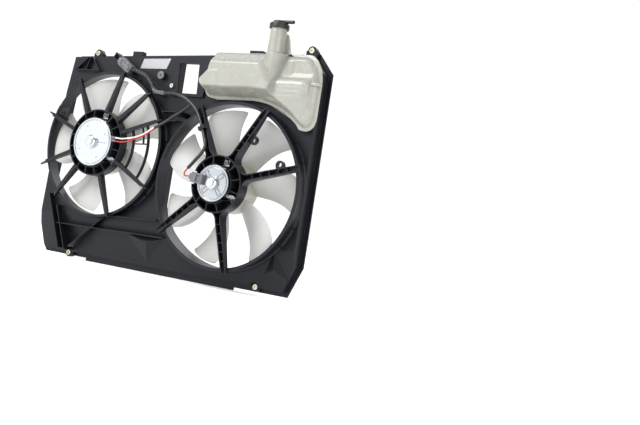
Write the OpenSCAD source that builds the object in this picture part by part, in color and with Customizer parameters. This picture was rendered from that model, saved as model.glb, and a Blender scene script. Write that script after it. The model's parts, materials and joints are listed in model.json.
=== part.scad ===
// Dual electric radiator fan: a moulded shroud with two motor-driven fans and a coolant reservoir.
// x runs across the shroud, z up, and y from the engine (negative) to the radiator (positive).
// The radiator face of the flange lies in y = 0, and every depth is measured from it towards the engine.

/* [Shroud] */
// Width across the flange
body_w = 700; // [690:1:710]
// Height of the flange at its left end
body_h = 463; // [455:1:475]
// How much higher the flange is at its right end
top_rise = 26; // [0:1:30]
// Wall of the moulding
wall = 2.5; // [2:0.1:3]
// Width of the flange round the box
flange_w = 9; // [7:0.5:10]
// Thickness of the flange
flange_t = 3; // [2:0.5:4]
// Depth of the box from the flange face to its engine face
panel_d = 32; // [30:1:34]
// Depth of the box along its lower edge, where the panel slopes back
lower_d = 14; // [10:1:20]
// Height over which the lower panel slopes
slope_h = 92; // [80:1:96]
// Height of the lip under the flange
lip_h = 6; // [4:0.5:8]
// Thickness of the stiffening ribs
rib_t = 2; // [1.5:0.1:2.6]

/* [Rings] */
// Left fan axis, across
left_x = -167; // [-168:0.5:-165]
// How far the left fan axis lies below the upper left corner
left_drop = 205; // [204:0.5:207]
// Inner radius of the left ring
left_ring_r = 156; // [152:0.5:157]
// Depth of the left ring's rim
left_rim_d = 54; // [53:0.5:56]
// Right fan axis, across
right_x = 174; // [172:0.5:175]
// Right fan axis, height
right_z = 201; // [200:0.5:203]
// Inner radius of the right ring
right_ring_r = 165; // [161:0.5:166]
// Depth of the right ring's rim
right_rim_d = 62; // [60:0.5:64]
// Wall of a ring
ring_t = 3; // [2.5:0.1:3.5]
// Rolled lip that stands out round a rim
rim_lip = 3; // [2:0.5:4]

/* [Left motor] */
// Radius of the left motor's end plate
left_plate_r = 52.5; // [51:0.5:54]
// Depth of the left end plate's outer face
left_plate_d = 84; // [81:0.5:86]
// Outer radius of the left hub cup
left_cup_r = 73; // [71:0.5:75]
// Depth of the left hub cup's back plate
left_back_d = 55; // [54:0.5:56]
// Radius of the left motor shaft
left_shaft_r = 5; // [4:0.5:6]

/* [Right motor] */
// Radius of the right motor's end plate
right_plate_r = 36.5; // [35:0.5:38]
// Depth of the right end plate's outer face
right_plate_d = 100; // [97:0.5:102]
// Outer radius of the right hub cup
right_cup_r = 58; // [56:0.5:60]
// Depth of the right hub cup's back plate
right_back_d = 63; // [62:0.5:64]
// Radius of the right motor shaft
right_shaft_r = 4; // [3:0.5:5]

/* [Fans] */
// Gap between the blade tips and their ring
tip_gap = 7; // [5:0.5:9]
// Radius of the left fan's hub
left_hub_r = 64; // [62:0.5:66]
// Depth of the left fan's front face
left_face_d = 18; // [16:0.5:20]
// Blades on the left fan
left_blades = 5; // [3:1:6]
// Radius of the right fan's hub
right_hub_r = 54; // [52:0.5:56]
// Depth of the right fan's front face
right_face_d = 10; // [8:0.5:12]
// Blades on the right fan
right_blades = 7; // [5:1:8]
// Thickness of a blade at its middle
blade_t = 3; // [2.4:0.1:3.6]
// Radius of a blade's outer corners
blade_corner = 15; // [10:1:18]

/* [Reservoir] */
// Wall of the reservoir
tank_wall = 2.4; // [2:0.1:3]
// Depth of the seam flange of the reservoir
seam_d = 42; // [41:0.5:43]
// Thickness of the seam flange
seam_t = 3; // [2.5:0.1:3.5]
// Depth of the reservoir's deep left chamber
deep_d = 77; // [74:1:80]
// Depth of the reservoir's shallow right chamber
shallow_d = 60; // [57:1:63]
// Filler neck axis, across
neck_x = 244; // [242:1:246]
// Filler neck axis, depth
neck_d = 57; // [56:0.5:58]
// Outer radius of the filler neck
neck_r = 19; // [18:0.5:20]
// How far the filler neck stands above the reservoir
neck_h = 56; // [50:1:60]

/* [Fastening] */
// Outer radius of a bolt boss
boss_r = 9.5; // [9:0.1:10.5]
// Bore of a mounting sleeve
sleeve_bore_r = 3.5; // [3:0.1:4]
// Outer radius of a mounting sleeve
sleeve_r = 5.6; // [5:0.1:6]
// Length of a mounting sleeve
sleeve_l = 14; // [12:0.5:16]
// Clearance between pieces that fit round each other
fit_gap = 0.3; // [0.2:0.05:0.5]
// Running clearance between a shaft and its bearings
run_gap = 0.04; // [0.02:0.01:0.08]

/* [Harness] */
// Radius of the wrapped trunk
trunk_r = 5; // [4:0.5:5.5]
// Radius of the sleeved tubes
tube_r = 3.4; // [3:0.1:3.8]
// Radius of a single lead
lead_r = 1.5; // [1.2:0.1:1.8]

/* [Hidden] */
$fn = 96;

left_edge = -body_w / 2;
right_edge = body_w / 2;
top_left_x = left_edge + 32;
top_right_x = right_edge - 34;
corner_z = body_h + top_rise - 40;
outline = [
    [right_edge - 26, 0], [right_edge, 62], [right_edge, corner_z], [top_right_x, body_h + top_rise],
    [top_left_x, body_h], [left_edge + 20, body_h - 88], [left_edge + 4, 180], [left_edge, 62],
    [left_edge + 9, 14], [left_edge + 20, 0]
];
// The box behind the engine face is narrower than the flange at the left
left_step = 4;
box_outline = [for (p = outline) [p[0] + (p[0] < 0 ? left_step : 0), p[1]]];
left_z = body_h - left_drop;
left_plate_t = 3;
right_plate_t = 2.5;
seam_w = 6;
tank_top = body_h + 12;
neck_top = tank_top + neck_h;

// Height of the flange's upper edge at a place across
function top_z(x) = body_h + top_rise * (x - top_left_x) / (top_right_x - top_left_x);

// Bolt bosses as [across, height], each with its centre near the edge that carries it
bosses = [
    [left_edge + 92, top_z(left_edge + 92) + 4], [right_edge - 50, top_z(right_edge - 50) + 5],
    [left_edge + 99, 6], [right_edge - 96, 10]
];

// A unit vector along v
function unit(v) = v / norm(v);

// A counter-clockwise outline moved inwards by d, with sharp corners kept
function inset(p, d) = [
    for (i = [0 : len(p) - 1])
        let (
            n = len(p),
            u = unit(p[i] - p[(i + n - 1) % n]),
            v = unit(p[(i + 1) % n] - p[i]),
            a = [-u[1], u[0]],
            b = [-v[1], v[0]]
        )
        p[i] + d * (a + b) / (1 + a * b)
];

// Points given as [across, height above the upper left corner]
function from_top(p) = [for (q = p) [q[0], body_h + q[1]]];

// A point at radius r and angle a, as [across, up]
function polar(r, a) = [r * cos(a), r * sin(a)];

// Points of an arc about c
function arc(c, r, a0, a1, n) = [for (i = [0 : n]) c + polar(r, a0 + (a1 - a0) * i / n)];

// A flat shape drawn as [across, height], made solid from depth d0 to d1
module slab(d0, d1) {
    translate([0, -d0, 0])
        rotate([90, 0, 0])
            linear_extrude(d1 - d0)
                children();
}

// Children drawn about the z axis turn to lie on a fan axis, with their z as depth
module on_axis(x, z) {
    translate([x, 0, z])
        rotate([90, 0, 0])
            children();
}

// A hollow ring between two depths
module ring(r_in, r_out, d0, d1) {
    translate([0, 0, d0])
        difference() {
            cylinder(h = d1 - d0, r = r_out);
            translate([0, 0, -1])
                cylinder(h = d1 - d0 + 2, r = r_in);
        }
}

// A disc between two depths
module disc(r, d0, d1) {
    translate([0, 0, d0])
        cylinder(h = d1 - d0, r = r);
}

// A plate on edge between two points of the panel, from depth d0 to d1
module rib(a, b, d0, d1, t = rib_t) {
    across = unit(b - a);
    side = [-across[1], across[0]] * t / 2;
    slab(d0, d1)
        polygon([a - side, b - side, b + side, a + side]);
}

// A plate on edge along a radius: its side view is given as [radius, depth] points
module radial_plate(points, t, offset_y = 0) {
    translate([0, offset_y + t / 2, 0])
        rotate([90, 0, 0])
            linear_extrude(t)
                polygon(points);
}

/* Shroud */

// Solid of the box between two depths: flange outline moved in, cut off by the lower slope
module box_solid(d_in, start, depth, low) {
    difference() {
        slab(start, depth)
            polygon(inset(box_outline, d_in));
        translate([left_edge - 1, 0, 0])
            rotate([90, 0, 90])
                linear_extrude(body_w + 2)
                    polygon([
                        [-low, -1], [-low, 6], [-depth, slope_h], [-depth - 1, slope_h], [-depth - 1, -1]
                    ]);
    }
}

// Space inside the box, behind its engine face
module box_cavity() {
    box_solid(flange_w, -1, panel_d - wall, lower_d - wall);
}

// Width of the flare where a ring meets the panel
ring_foot = 7;

// Side view of a ring as [radius, depth]: flared foot, tube and rolled rim, from radius r_in out
function ring_profile(r, rim, r_in, foot_d) = [
    [r_in, foot_d], [r + ring_foot, foot_d], [r + ring_foot, panel_d],
    [r + ring_t + 1, panel_d + 3], [r + ring_t, panel_d + ring_foot],
    [r + ring_t, rim - 4], [r + ring_t + rim_lip, rim - 3], [r + ring_t + rim_lip, rim - 1],
    [r + ring_t + rim_lip - 1, rim], [r_in, rim]
];

// Ring that starts at the panel, and goes on through the panel's slope where it lies lower
module fan_ring(r, rim) {
    rotate_extrude($fn = 180)
        polygon(ring_profile(r, rim, r, panel_d - wall));
}

// What a ring and its opening take from the shroud, from a depth on
module ring_place(r, rim, start) {
    rotate_extrude($fn = 180)
        polygon(ring_profile(r, rim + 1, 0, start));
}

// Everything inside the side walls of the box
module inside_walls(d0, d1) {
    slab(d0, d1)
        polygon(inset(box_outline, flange_w + wall));
}

// Depth of the sloping panel's engine face at a height
function slope_depth(z) = z > slope_h ? panel_d : lower_d + (panel_d - lower_d) * (z - 6) / (slope_h - 6);

// Raised triangular facet: three corners on the sloping panel and a ridge point that stands out by rise
module facet(corners, ridge, rise) {
    points = concat(
        [for (p = corners) [p[0], -slope_depth(p[1]) + 0.5, p[1]]],
        [for (p = corners) [p[0], -slope_depth(p[1]) + wall, p[1]]],
        [[ridge[0], -slope_depth(ridge[1]) - rise, ridge[1]]]
    );
    hull()
        polyhedron(
            points = points,
            faces = [[0, 1, 2], [3, 4, 5], [0, 1, 6], [1, 2, 6], [2, 0, 6], [0, 3, 4]]
        );
}

// Window through the upper panel, in its raised field
window_min = [2, body_h - 77];
window_max = [50, body_h - 13];
raised_min = [-12, body_h - 83];
raised_max = [86, body_h + 9];
raised_d = panel_d + 5;
divider_x = (left_x + left_ring_r + right_x - right_ring_r) / 2;
divider_top_x = divider_x - 8;
divider_top_z = top_z(divider_top_x) - flange_w - wall - 0.2;
grommet_at = [-44, body_h - 42];
screw_at = [-12, body_h - 63];

// Ribs that stand on the engine face of the panel, as [from, to, depth of their edge]
lower_knot = [-132, 104];
lower_ribs = [
    [lower_knot, [8, 110], left_rim_d - 6], [[-272, 70], [28, 76], left_rim_d - 10],
    [lower_knot, [-228, 22], left_rim_d - 10], [[-278, 110], [-236, 13], left_rim_d - 8],
    [[-306, 134], [-254, 14], left_rim_d - 8]
];
upper_ribs = [
    [[-252, body_h - 4], [-292, body_h - 39], panel_d + 9],
    [[-250, body_h - 4], [-222, body_h - 39], panel_d + 9],
    [[-250, body_h - 4], [-262, body_h - 39], panel_d + 9],
    [[-294, body_h - 39], [-220, body_h - 39], panel_d + 9],
    [[-22, left_z + 84], [28, left_z + 86], left_rim_d - 6],
    [[-16, left_z + 63], [22, left_z + 67], left_rim_d - 6]
];

module boss_outline(b) {
    toward = b[1] > body_h / 2 ? -1 : 1;
    translate(b)
        circle(boss_r, $fn = 48);
    translate([b[0] - boss_r - 3, toward > 0 ? b[1] : b[1] - 16])
        square([2 * boss_r + 6, 16]);
}

// Flange, side walls, bolt bosses, lip and tabs
module shroud_frame() color("#1d1e20") {
    difference() {
        union() {
            difference() {
                slab(0, flange_t)
                    polygon(outline);
                inside_walls(-1, flange_t + 1);
            }
            slab(0, flange_t)
                translate([left_edge + 144, -lip_h])
                    square([403, lip_h + 2]);
            difference() {
                box_solid(flange_w, 0, panel_d, lower_d);
                inside_walls(-1, panel_d + 1);
            }
            for (b = bosses)
                slab(0, sleeve_l - 2)
                    boss_outline(b);
            // Tabs on the upper edge
            slab(0, 12)
                translate([left_x + 11, top_z(left_x + 11) - 3])
                    square([28, 11]);
            slab(0, 12)
                translate([right_x - 20, top_z(right_x - 20) - 3])
                    square([32, 10]);
        }
        for (b = bosses)
            slab(-1, panel_d)
                translate(b)
                    circle(sleeve_r);
        on_axis(left_x, left_z)
            ring_place(left_ring_r, left_rim_d, panel_d - wall);
        on_axis(right_x, right_z)
            ring_place(right_ring_r, right_rim_d, panel_d - wall);
    }
}

module shroud_panel() color("#1d1e20") {
    difference() {
        intersection() {
            union() {
                difference() {
                    union() {
                        box_solid(flange_w + wall, 0, panel_d, lower_d);
                        for (r = lower_ribs)
                            rib(r[0], r[1], lower_d, r[2]);
                        facet([[-84, 74], [24, 74], [-22, 7 + flange_w]], [-20, 60], 8);
                        facet([[270, 34], [left_edge + 687, 30], [296, 88]], [300, 50], 9);
                    }
                    box_cavity();
                }
                difference() {
                    slab(panel_d - wall, raised_d)
                        polygon([
                            raised_min, [raised_max[0] - 16, raised_min[1]], raised_max,
                            [raised_min[0], raised_max[1] - 4]
                        ]);
                    slab(panel_d - wall - 1, raised_d - wall)
                        translate(raised_min + [wall, wall])
                            square(raised_max - raised_min - [18 + wall, 8 + wall]);
                }
                for (r = upper_ribs)
                    rib(r[0], r[1], panel_d - 1, r[2]);
                rib([divider_x, slope_h], [divider_x, window_min[1] - 8], flange_t + 2, panel_d - 1);
                rib([divider_top_x, window_min[1] - 20], [divider_top_x, divider_top_z], flange_t + 2, panel_d - 1);
                // Post for the round grommet and boss for the panel screw
                slab(panel_d - 1, panel_d + 8)
                    translate(grommet_at)
                        circle(9);
                slab(panel_d - 1, panel_d + 6)
                    translate(screw_at)
                        circle(8);
                // Feet under the reservoir, and posts for the harness clips
                for (f = tank_feet)
                    slab(panel_d - 1, f[1])
                        translate(f[0])
                            circle(5, $fn = 48);
                for (c = [[sleeve_route[1], sleeve_clip_d], [left_tube_route[4], left_clip_d]])
                    slab(panel_d - 1, c[1])
                        translate([c[0][0], c[0][2]])
                            circle(6, $fn = 48);
            }
            inside_walls(-1, right_rim_d);
        }
        on_axis(left_x, left_z)
            ring_place(left_ring_r, left_rim_d, 0);
        on_axis(right_x, right_z)
            ring_place(right_ring_r, right_rim_d, 0);
        slab(-1, raised_d + 1)
            polygon([
                window_min, [window_max[0] + 4, window_min[1]], window_max, [window_min[0] - 4, window_max[1]]
            ]);
        for (b = bosses)
            slab(-1, panel_d + 1)
                translate(b)
                    circle(boss_r);
        slab(panel_d + 1, panel_d + 9)
            translate(grommet_at)
                circle(5);
        slab(panel_d + 1, panel_d + 7)
            translate(screw_at)
                circle(2.2);
    }
}

module left_fan_ring() color("#1d1e20")
    on_axis(left_x, left_z) {
        fan_ring(left_ring_r, left_rim_d);
        // Lug with a hole beside the rim
        rotate(155)
            translate([left_ring_r + ring_t - 1, -8, panel_d + ring_foot])
                difference() {
                    cube([9, 16, left_rim_d - panel_d - ring_foot - 5]);
                    translate([5.5, 8, -1])
                        cylinder(h = 20, r = 2, $fn = 32);
                }
    }

module right_fan_ring() color("#1d1e20") {
    on_axis(right_x, right_z)
        fan_ring(right_ring_r, right_rim_d);
    difference() {
        union() {
            intersection() {
                on_axis(right_x, right_z)
                    ring(right_ring_r, right_ring_r + ring_foot, 1, panel_d - wall);
                box_solid(flange_w + wall, 1, panel_d, lower_d);
            }
            intersection() {
                on_axis(right_x, right_z)
                    ring(right_ring_r, right_ring_r + ring_t, lower_d, panel_d - wall);
                inside_walls(lower_d - 1, panel_d);
            }
        }
        box_cavity();
    }
}

module mount_sleeves() color("#c9bd8e")
    for (b = bosses)
        slab(0, sleeve_l)
            difference() {
                translate(b)
                    circle(sleeve_r);
                translate(b)
                    circle(sleeve_bore_r);
            }

/* Motor carriers */

// Motor ears are spread evenly from this angle on
ear_first = 82;
ear_count = 3;
left_ear_r = 62;
right_ear_r = 46;
ear_w = 13;
ear_t = 2.5;
ear_boss_h = 3;
screw_r = 2.5;
plate_gap = 1.2;

// Spokes as [angle, how far the outer end stands out beyond the ring wall]
left_spokes = [
    [122, 8], [77, 8], [46, 8], [22, 12], [-30, 10], [-71, 8], [-131, 10], [-160, 20], [160, 16]
];
right_spokes = [[118, 8], [64, 8], [17, 6], [-78, 8], [-142, 14]];

// Hub cup: back plate, inner and outer walls, and radial ribs between them
module hub_cup(r_in, r_out, back, front, ribs) {
    ring(r_in, r_out, back, back + 2.5);
    ring(r_in, r_in + 2.2, back, front);
    ring(r_out - 2.5, r_out, back, front - 6);
    for (i = [0 : ribs - 1])
        rotate((i + 0.5) * 360 / ribs)
            radial_plate([
                [r_in + 1, back + 1], [r_out - 1, back + 1], [r_out - 1, front - 6], [r_in + 1, front - 1]
            ], rib_t);
}

// Space that the motor's ears and their screws need in the cup
module ear_space(ear_r, front, back) {
    for (i = [0 : ear_count - 1])
        rotate(ear_first + i * 360 / ear_count)
            translate([0, -ear_w / 2 - 1, back + 2.5 + ear_boss_h])
                cube([ear_r + ear_w / 2 + 1, ear_w + 2, front - back]);
}

module ear_bosses(ear_r, back) {
    for (i = [0 : ear_count - 1])
        rotate(ear_first + i * 360 / ear_count)
            translate([ear_r, 0, back])
                cylinder(h = 2.5 + ear_boss_h, r = ear_w / 2 - 0.5, $fn = 48);
}

module ear_holes(ear_r, back, r) {
    for (i = [0 : ear_count - 1])
        rotate(ear_first + i * 360 / ear_count)
            translate([ear_r, 0, back - 1])
                cylinder(h = 40, r = r, $fn = 32);
}

module left_motor_carrier() color("#17181a")
    on_axis(left_x, left_z)
        difference() {
            union() {
                difference() {
                    hub_cup(left_plate_r + plate_gap, left_cup_r, left_back_d, left_plate_d - 3, 16);
                    ear_space(left_ear_r, left_plate_d, left_back_d);
                }
                ear_bosses(left_ear_r, left_back_d);
                for (s = left_spokes)
                    rotate(s[0])
                        left_spoke(left_cup_r - 2, left_ring_r + ring_t + s[1]);
                finger_guard();
            }
            ear_holes(left_ear_r, left_back_d, screw_r - 0.2);
            disc(left_plate_r + plate_gap, left_back_d - 1, left_plate_d + 1);
        }

// Plain bar spoke that comes down from the cup to the rim, with a flat cap on its engine edge
module left_spoke(r0, r1) {
    h0 = left_plate_d - 10;
    h1 = left_rim_d + 9;
    r_rim = left_ring_r;
    radial_plate([
        [r0, left_back_d + 1], [r_rim - 1, left_rim_d], [r1, left_rim_d], [r1, left_rim_d + 4],
        [r_rim + 3, h1], [r0, h0]
    ], 3);
    radial_plate([[r0, h0 - 3], [r_rim + 2, h1 - 3], [r_rim + 3, h1], [r0, h0]], 8);
}

// Finger guard: arcs and a bar between the right and the lower right spoke
guard_in_r = 97;
guard_out_r = 134;
guard_low = left_spokes[4][0];
guard_high = left_spokes[3][0];
guard_bar = 4;
module guard_arc(r, a0, a1, d0, d1) {
    translate([0, 0, d0])
        linear_extrude(d1 - d0)
            polygon(concat(arc([0, 0], r + 1.2, a0, a1, 16), arc([0, 0], r - 1.2, a1, a0, 16)));
}

module finger_guard() {
    guard_arc(guard_in_r, guard_low, guard_high, left_rim_d + 5, left_rim_d + 12);
    guard_arc(guard_out_r, guard_low, guard_high, left_rim_d + 2, left_rim_d + 9);
    guard_arc(guard_out_r - 12, guard_bar, guard_high, left_rim_d + 4.5, left_rim_d + 8.5);
    rotate(guard_bar)
        radial_plate([
            [guard_in_r - 1, left_rim_d + 6], [guard_out_r + 0.8, left_rim_d + 3],
            [guard_out_r + 0.8, left_rim_d + 8], [guard_in_r - 1, left_rim_d + 11]
        ], 2.4);
}

// U-channel spoke, open towards the engine, with cross webs; its root flares out to the cup
spoke_w = 13;
spoke_t = 2.2;
web_pitch = 18;
root_flare = 19.5;
// Where the flare ends: its arcs meet the cup's wall at a shallow angle
root_r = sqrt(pow(right_cup_r + root_flare - 1.5, 2) - pow(spoke_w / 2 + root_flare, 2));
root_d = right_plate_d - 14;
// Depth of the spoke's engine edge at radius r
function spoke_front(r) = root_d + (right_rim_d + 9 - root_d) * (r - root_r) / (right_ring_r + 2 - root_r);

module right_spoke(r1) {
    r0 = root_r - 1;
    f1 = right_rim_d + 9;
    b0 = right_back_d + 1;
    b1 = right_rim_d;
    floor_t = 2.5;
    for (s = [-1, 1])
        radial_plate([
            [r0, b0], [right_ring_r, b1], [r1, b1], [r1, b1 + 5], [right_ring_r + 2, f1], [r0, spoke_front(r0)]
        ],
            spoke_t, s * (spoke_w - spoke_t) / 2);
    radial_plate([[r0, b0], [right_ring_r, b1], [r1, b1], [r1, b1 + floor_t], [right_ring_r, b1 + floor_t],
        [r0, b0 + floor_t]], spoke_w);
    for (r = [r0 + web_pitch / 2 : web_pitch : right_ring_r])
        translate([r - rib_t / 2, -spoke_w / 2 + 1, b1 + 1])
            cube([rib_t, spoke_w - 2, spoke_front(r) - 3 - b1]);
    translate([0, 0, b0 - 0.4])
        linear_extrude(floor_t)
            spoke_root(0);
    translate([0, 0, b0 - 0.4])
        linear_extrude(root_d - b0)
            difference() {
                spoke_root(0);
                spoke_root(spoke_t);
            }
}

// Flared root of a spoke, its sides moved inwards by t
module spoke_root(t) {
    difference() {
        translate([right_cup_r - 12, t - 20])
            square([root_r - right_cup_r + 12, 40 - 2 * t]);
        circle(right_cup_r - 1);
        for (e = [-1, 1])
            translate([root_r, e * (spoke_w / 2 + root_flare)])
                circle(root_flare + t, $fn = 64);
    }
}

// Where the right motor's plug lies, about its axis
plug_angle = 172;

// Eye on the side of a spoke
module spoke_eye(r, side, d0, d1) {
    translate([r, side * (spoke_w / 2 + 6), d0])
        difference() {
            union() {
                cylinder(h = d1 - d0, r = 9, $fn = 48);
                translate([-9, side > 0 ? -8 : 0, 0])
                    cube([18, 8, d1 - d0]);
            }
            translate([0, side * 1, -1])
                cylinder(h = d1 - d0 + 2, r = 4.5, $fn = 48);
        }
}

module right_motor_carrier() color("#17181a")
    on_axis(right_x, right_z)
        difference() {
            union() {
                difference() {
                    hub_cup(right_plate_r + plate_gap, right_cup_r, right_back_d, right_plate_d - 4, 12);
                    ear_space(right_ear_r, right_plate_d, right_back_d);
                }
                ear_bosses(right_ear_r, right_back_d);
                for (s = right_spokes)
                    rotate(s[0])
                        right_spoke(right_ring_r + ring_t + s[1]);
                rotate(right_spokes[1][0])
                    spoke_eye(112, -1, right_rim_d + 4, right_rim_d + 12);
                rotate(right_spokes[2][0])
                    spoke_eye(138, 1, right_rim_d + 4, right_rim_d + 12);
            }
            ear_holes(right_ear_r, right_back_d, screw_r - 0.2);
            disc(right_plate_r + plate_gap, right_back_d - 1, right_plate_d + 1);
            // The cup is open where the motor's plug lies
            rotate(plug_angle)
                translate([right_plate_r - 4, -13, right_plate_d - 18])
                    cube([right_cup_r - right_plate_r + 8, 26, 20]);
        }

/* Motors: every piece is drawn from its motor's own numbers */

// Can radius, and the depths of its radiator end and its open end
can_wall = 2;
left_can_r = left_plate_r - 2;
right_can_r = right_plate_r - 1.8;
left_can_d = left_face_d + 17;
right_can_d = right_face_d + 20;
bearing_l = 8;
bearing_t = 5;

module motor_can(r, d0, d1, back, ear_r, shaft_r) {
    difference() {
        union() {
            disc(r, d0, d1);
            disc(shaft_r + bearing_t + 2, d0 - 4, d0 + 1);
            for (i = [0 : ear_count - 1])
                rotate(ear_first + i * 360 / ear_count)
                    translate([r - 3, -ear_w / 2, back + 2.5 + ear_boss_h + 0.1])
                        cube([ear_r - r + 8, ear_w, ear_t]);
        }
        disc(r - can_wall, d0 + can_wall, d1 + 1);
        disc(shaft_r + bearing_t, d0 - 2, d0 + bearing_l);
        disc(shaft_r + 0.8, d0 - 5, d1);
        for (i = [0 : ear_count - 1])
            rotate(ear_first + i * 360 / ear_count)
                translate([ear_r, 0, back])
                    cylinder(h = 20, r = screw_r + 0.3, $fn = 32);
    }
}

module end_plate(r, d1, t, can_r, shaft_r) {
    cap_r = shaft_r + bearing_t + 3;
    difference() {
        union() {
            disc(r, d1 - t, d1);
            disc(can_r - can_wall - 0.1, d1 - t - 3, d1 - t + 1);
            disc(cap_r + 2, d1 - 1, d1 + 2.5);
        }
        disc(shaft_r + bearing_t, d1 - t - 4, d1 + 4);
        difference() {
            disc(can_r - can_wall - 3, d1 - t - 4, d1 - t);
            disc(cap_r, d1 - t - 5, d1 + 1);
        }
        for (i = [0 : 3])
            rotate(30 + i * 90)
                translate([r * 0.72, 0, d1 - 0.8])
                    cylinder(h = 2, r = r * 0.03, $fn = 24);
        // Groove inside the rim
        ring(r - 5, r - 3.6, d1 - 0.7, d1 + 1);
    }
}

module bearing_cap(d1, shaft_r) {
    cap_r = shaft_r + bearing_t + 3;
    difference() {
        union() {
            disc(cap_r, d1 + 2.5, d1 + 6);
            translate([0, 0, d1 + 6])
                cylinder(h = 2, r1 = cap_r, r2 = cap_r - 2);
            disc(cap_r - 5, d1 + 7, d1 + 10);
        }
        disc(shaft_r + 1.5, d1 + 2, d1 + 8);
    }
}

module bearing(d0, shaft_r) {
    ring(shaft_r + run_gap, shaft_r + bearing_t, d0, d0 + bearing_l);
}

module magnets(can_r, d0, d1) {
    for (a = [0, 180])
        rotate(a)
            translate([0, 0, d0])
                linear_extrude(d1 - d0)
                    difference() {
                        polygon(concat(arc([0, 0], can_r - can_wall, -68, 68, 32),
                            arc([0, 0], can_r - can_wall - 6, 68, -68, 32)));
                    }
}

module brush_holder(can_r, shaft_r, d0, commutator_r) {
    ring(commutator_r + 3, can_r - can_wall - 0.2, d0, d0 + 2.5);
    for (a = [0, 180])
        rotate(a) {
            translate([commutator_r + 0.4, -3, d0 - 5])
                cube([can_r * 0.42, 6, 5.5]);
        }
}

module armature_core(r, shaft_r, d0, d1, slots) {
    translate([0, 0, d0])
        linear_extrude(d1 - d0)
            difference() {
                circle(r);
                circle(shaft_r);
                for (i = [0 : slots - 1])
                    rotate(i * 360 / slots) {
                        translate([r - 2.5, -1])
                            square([4, 2]);
                        translate([r * 0.72, 0])
                            circle(r * 0.1, $fn = 24);
                    }
            }
}

module windings(r, shaft_r, d0, d1) {
    for (d = [d0, d1])
        translate([0, 0, d])
            rotate_extrude($fn = 64)
                polygon([[shaft_r + 4, -3.5], [r * 0.8, -3.5], [r * 0.86, -1], [r * 0.86, 1], [r * 0.8, 3.5],
                    [shaft_r + 4, 3.5]]);
}

module commutator(shaft_r, r, d0, d1) {
    translate([0, 0, d0])
        linear_extrude(d1 - d0)
            difference() {
                circle(r);
                circle(shaft_r);
                for (i = [0 : 11])
                    rotate(i * 30)
                        translate([r - 0.8, -0.25])
                            square([2, 0.5]);
            }
}

module shaft(r, d0, d1) {
    groove = 0.5;
    difference() {
        disc(r, d0, d1);
        ring(r - groove, r + 1, d0 + 1.5, d0 + 2.5);
    }
}

// The screws pass the motor's ears and bite in the carrier's bosses
module motor_screws(ear_r, back) {
    head_d = back + 2.5 + ear_boss_h + 0.1 + ear_t;
    for (i = [0 : ear_count - 1])
        rotate(ear_first + i * 360 / ear_count)
            translate([ear_r, 0, 0]) {
                disc(screw_r - 0.2, back + 0.5, head_d + 1, $fn = 32);
                difference() {
                    disc(4.6, head_d, head_d + 3.5, $fn = 32);
                    translate([0, 0, head_d + 1.5])
                        cylinder(h = 3, r = 2.4, $fn = 6);
                }
            }
}

// Depths along each motor
left_can_end = left_plate_d - left_plate_t;
right_can_end = right_plate_d - right_plate_t;
left_core = [left_can_d + 13, left_can_end - 20];
right_core = [right_can_d + 13, right_can_end - 20];
left_comm_r = 13;
right_comm_r = 10;
magnet_gap = 1;
left_core_r = left_can_r - can_wall - 6 - magnet_gap;
right_core_r = right_can_r - can_wall - 6 - magnet_gap;

module left_motor_can() color("#b9bcc0")
    on_axis(left_x, left_z)
        motor_can(left_can_r, left_can_d, left_can_end, left_back_d, left_ear_r, left_shaft_r);
module left_end_plate() color("#dfe3e6")
    on_axis(left_x, left_z)
        difference() {
            end_plate(left_plate_r, left_plate_d, left_plate_t, left_can_r, left_shaft_r);
            // Groove for the leads from the boss to the rim
            translate([left_plate_r * 0.35, -0.8, left_plate_d - 0.7])
                cube([left_plate_r * 0.45, 1.6, 2]);
        }
module left_bearing_cap() color("#c8ced4")
    on_axis(left_x, left_z)
        bearing_cap(left_plate_d, left_shaft_r);
module left_front_bearing() color("#a98b58")
    on_axis(left_x, left_z)
        bearing(left_can_d - 2, left_shaft_r);
module left_rear_bearing() color("#a98b58")
    on_axis(left_x, left_z)
        bearing(left_plate_d - left_plate_t - 3, left_shaft_r);
module left_magnets() color("#4a4a4c")
    on_axis(left_x, left_z)
        magnets(left_can_r, left_core[0] - 2, left_core[1] + 2);
module left_brush_holder() color("#6a5138")
    on_axis(left_x, left_z)
        brush_holder(left_can_r, left_shaft_r, left_can_end - 7, left_comm_r);
module left_motor_screws() color("#d8d8d4")
    on_axis(left_x, left_z)
        motor_screws(left_ear_r, left_back_d);
module left_shaft() color("#9da0a4")
    on_axis(left_x, left_z)
        shaft(left_shaft_r, left_face_d - 5, left_plate_d + 7);
module left_armature_core() color("#77797c")
    on_axis(left_x, left_z)
        armature_core(left_core_r, left_shaft_r, left_core[0], left_core[1], 12);
module left_windings() color("#b06a34")
    on_axis(left_x, left_z)
        windings(left_core_r, left_shaft_r, left_core[0] - 3.5, left_core[1] + 3.5);
module left_commutator() color("#b4764a")
    on_axis(left_x, left_z)
        commutator(left_shaft_r, left_comm_r, left_core[1] + 7.5, left_can_end - 5);

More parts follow.
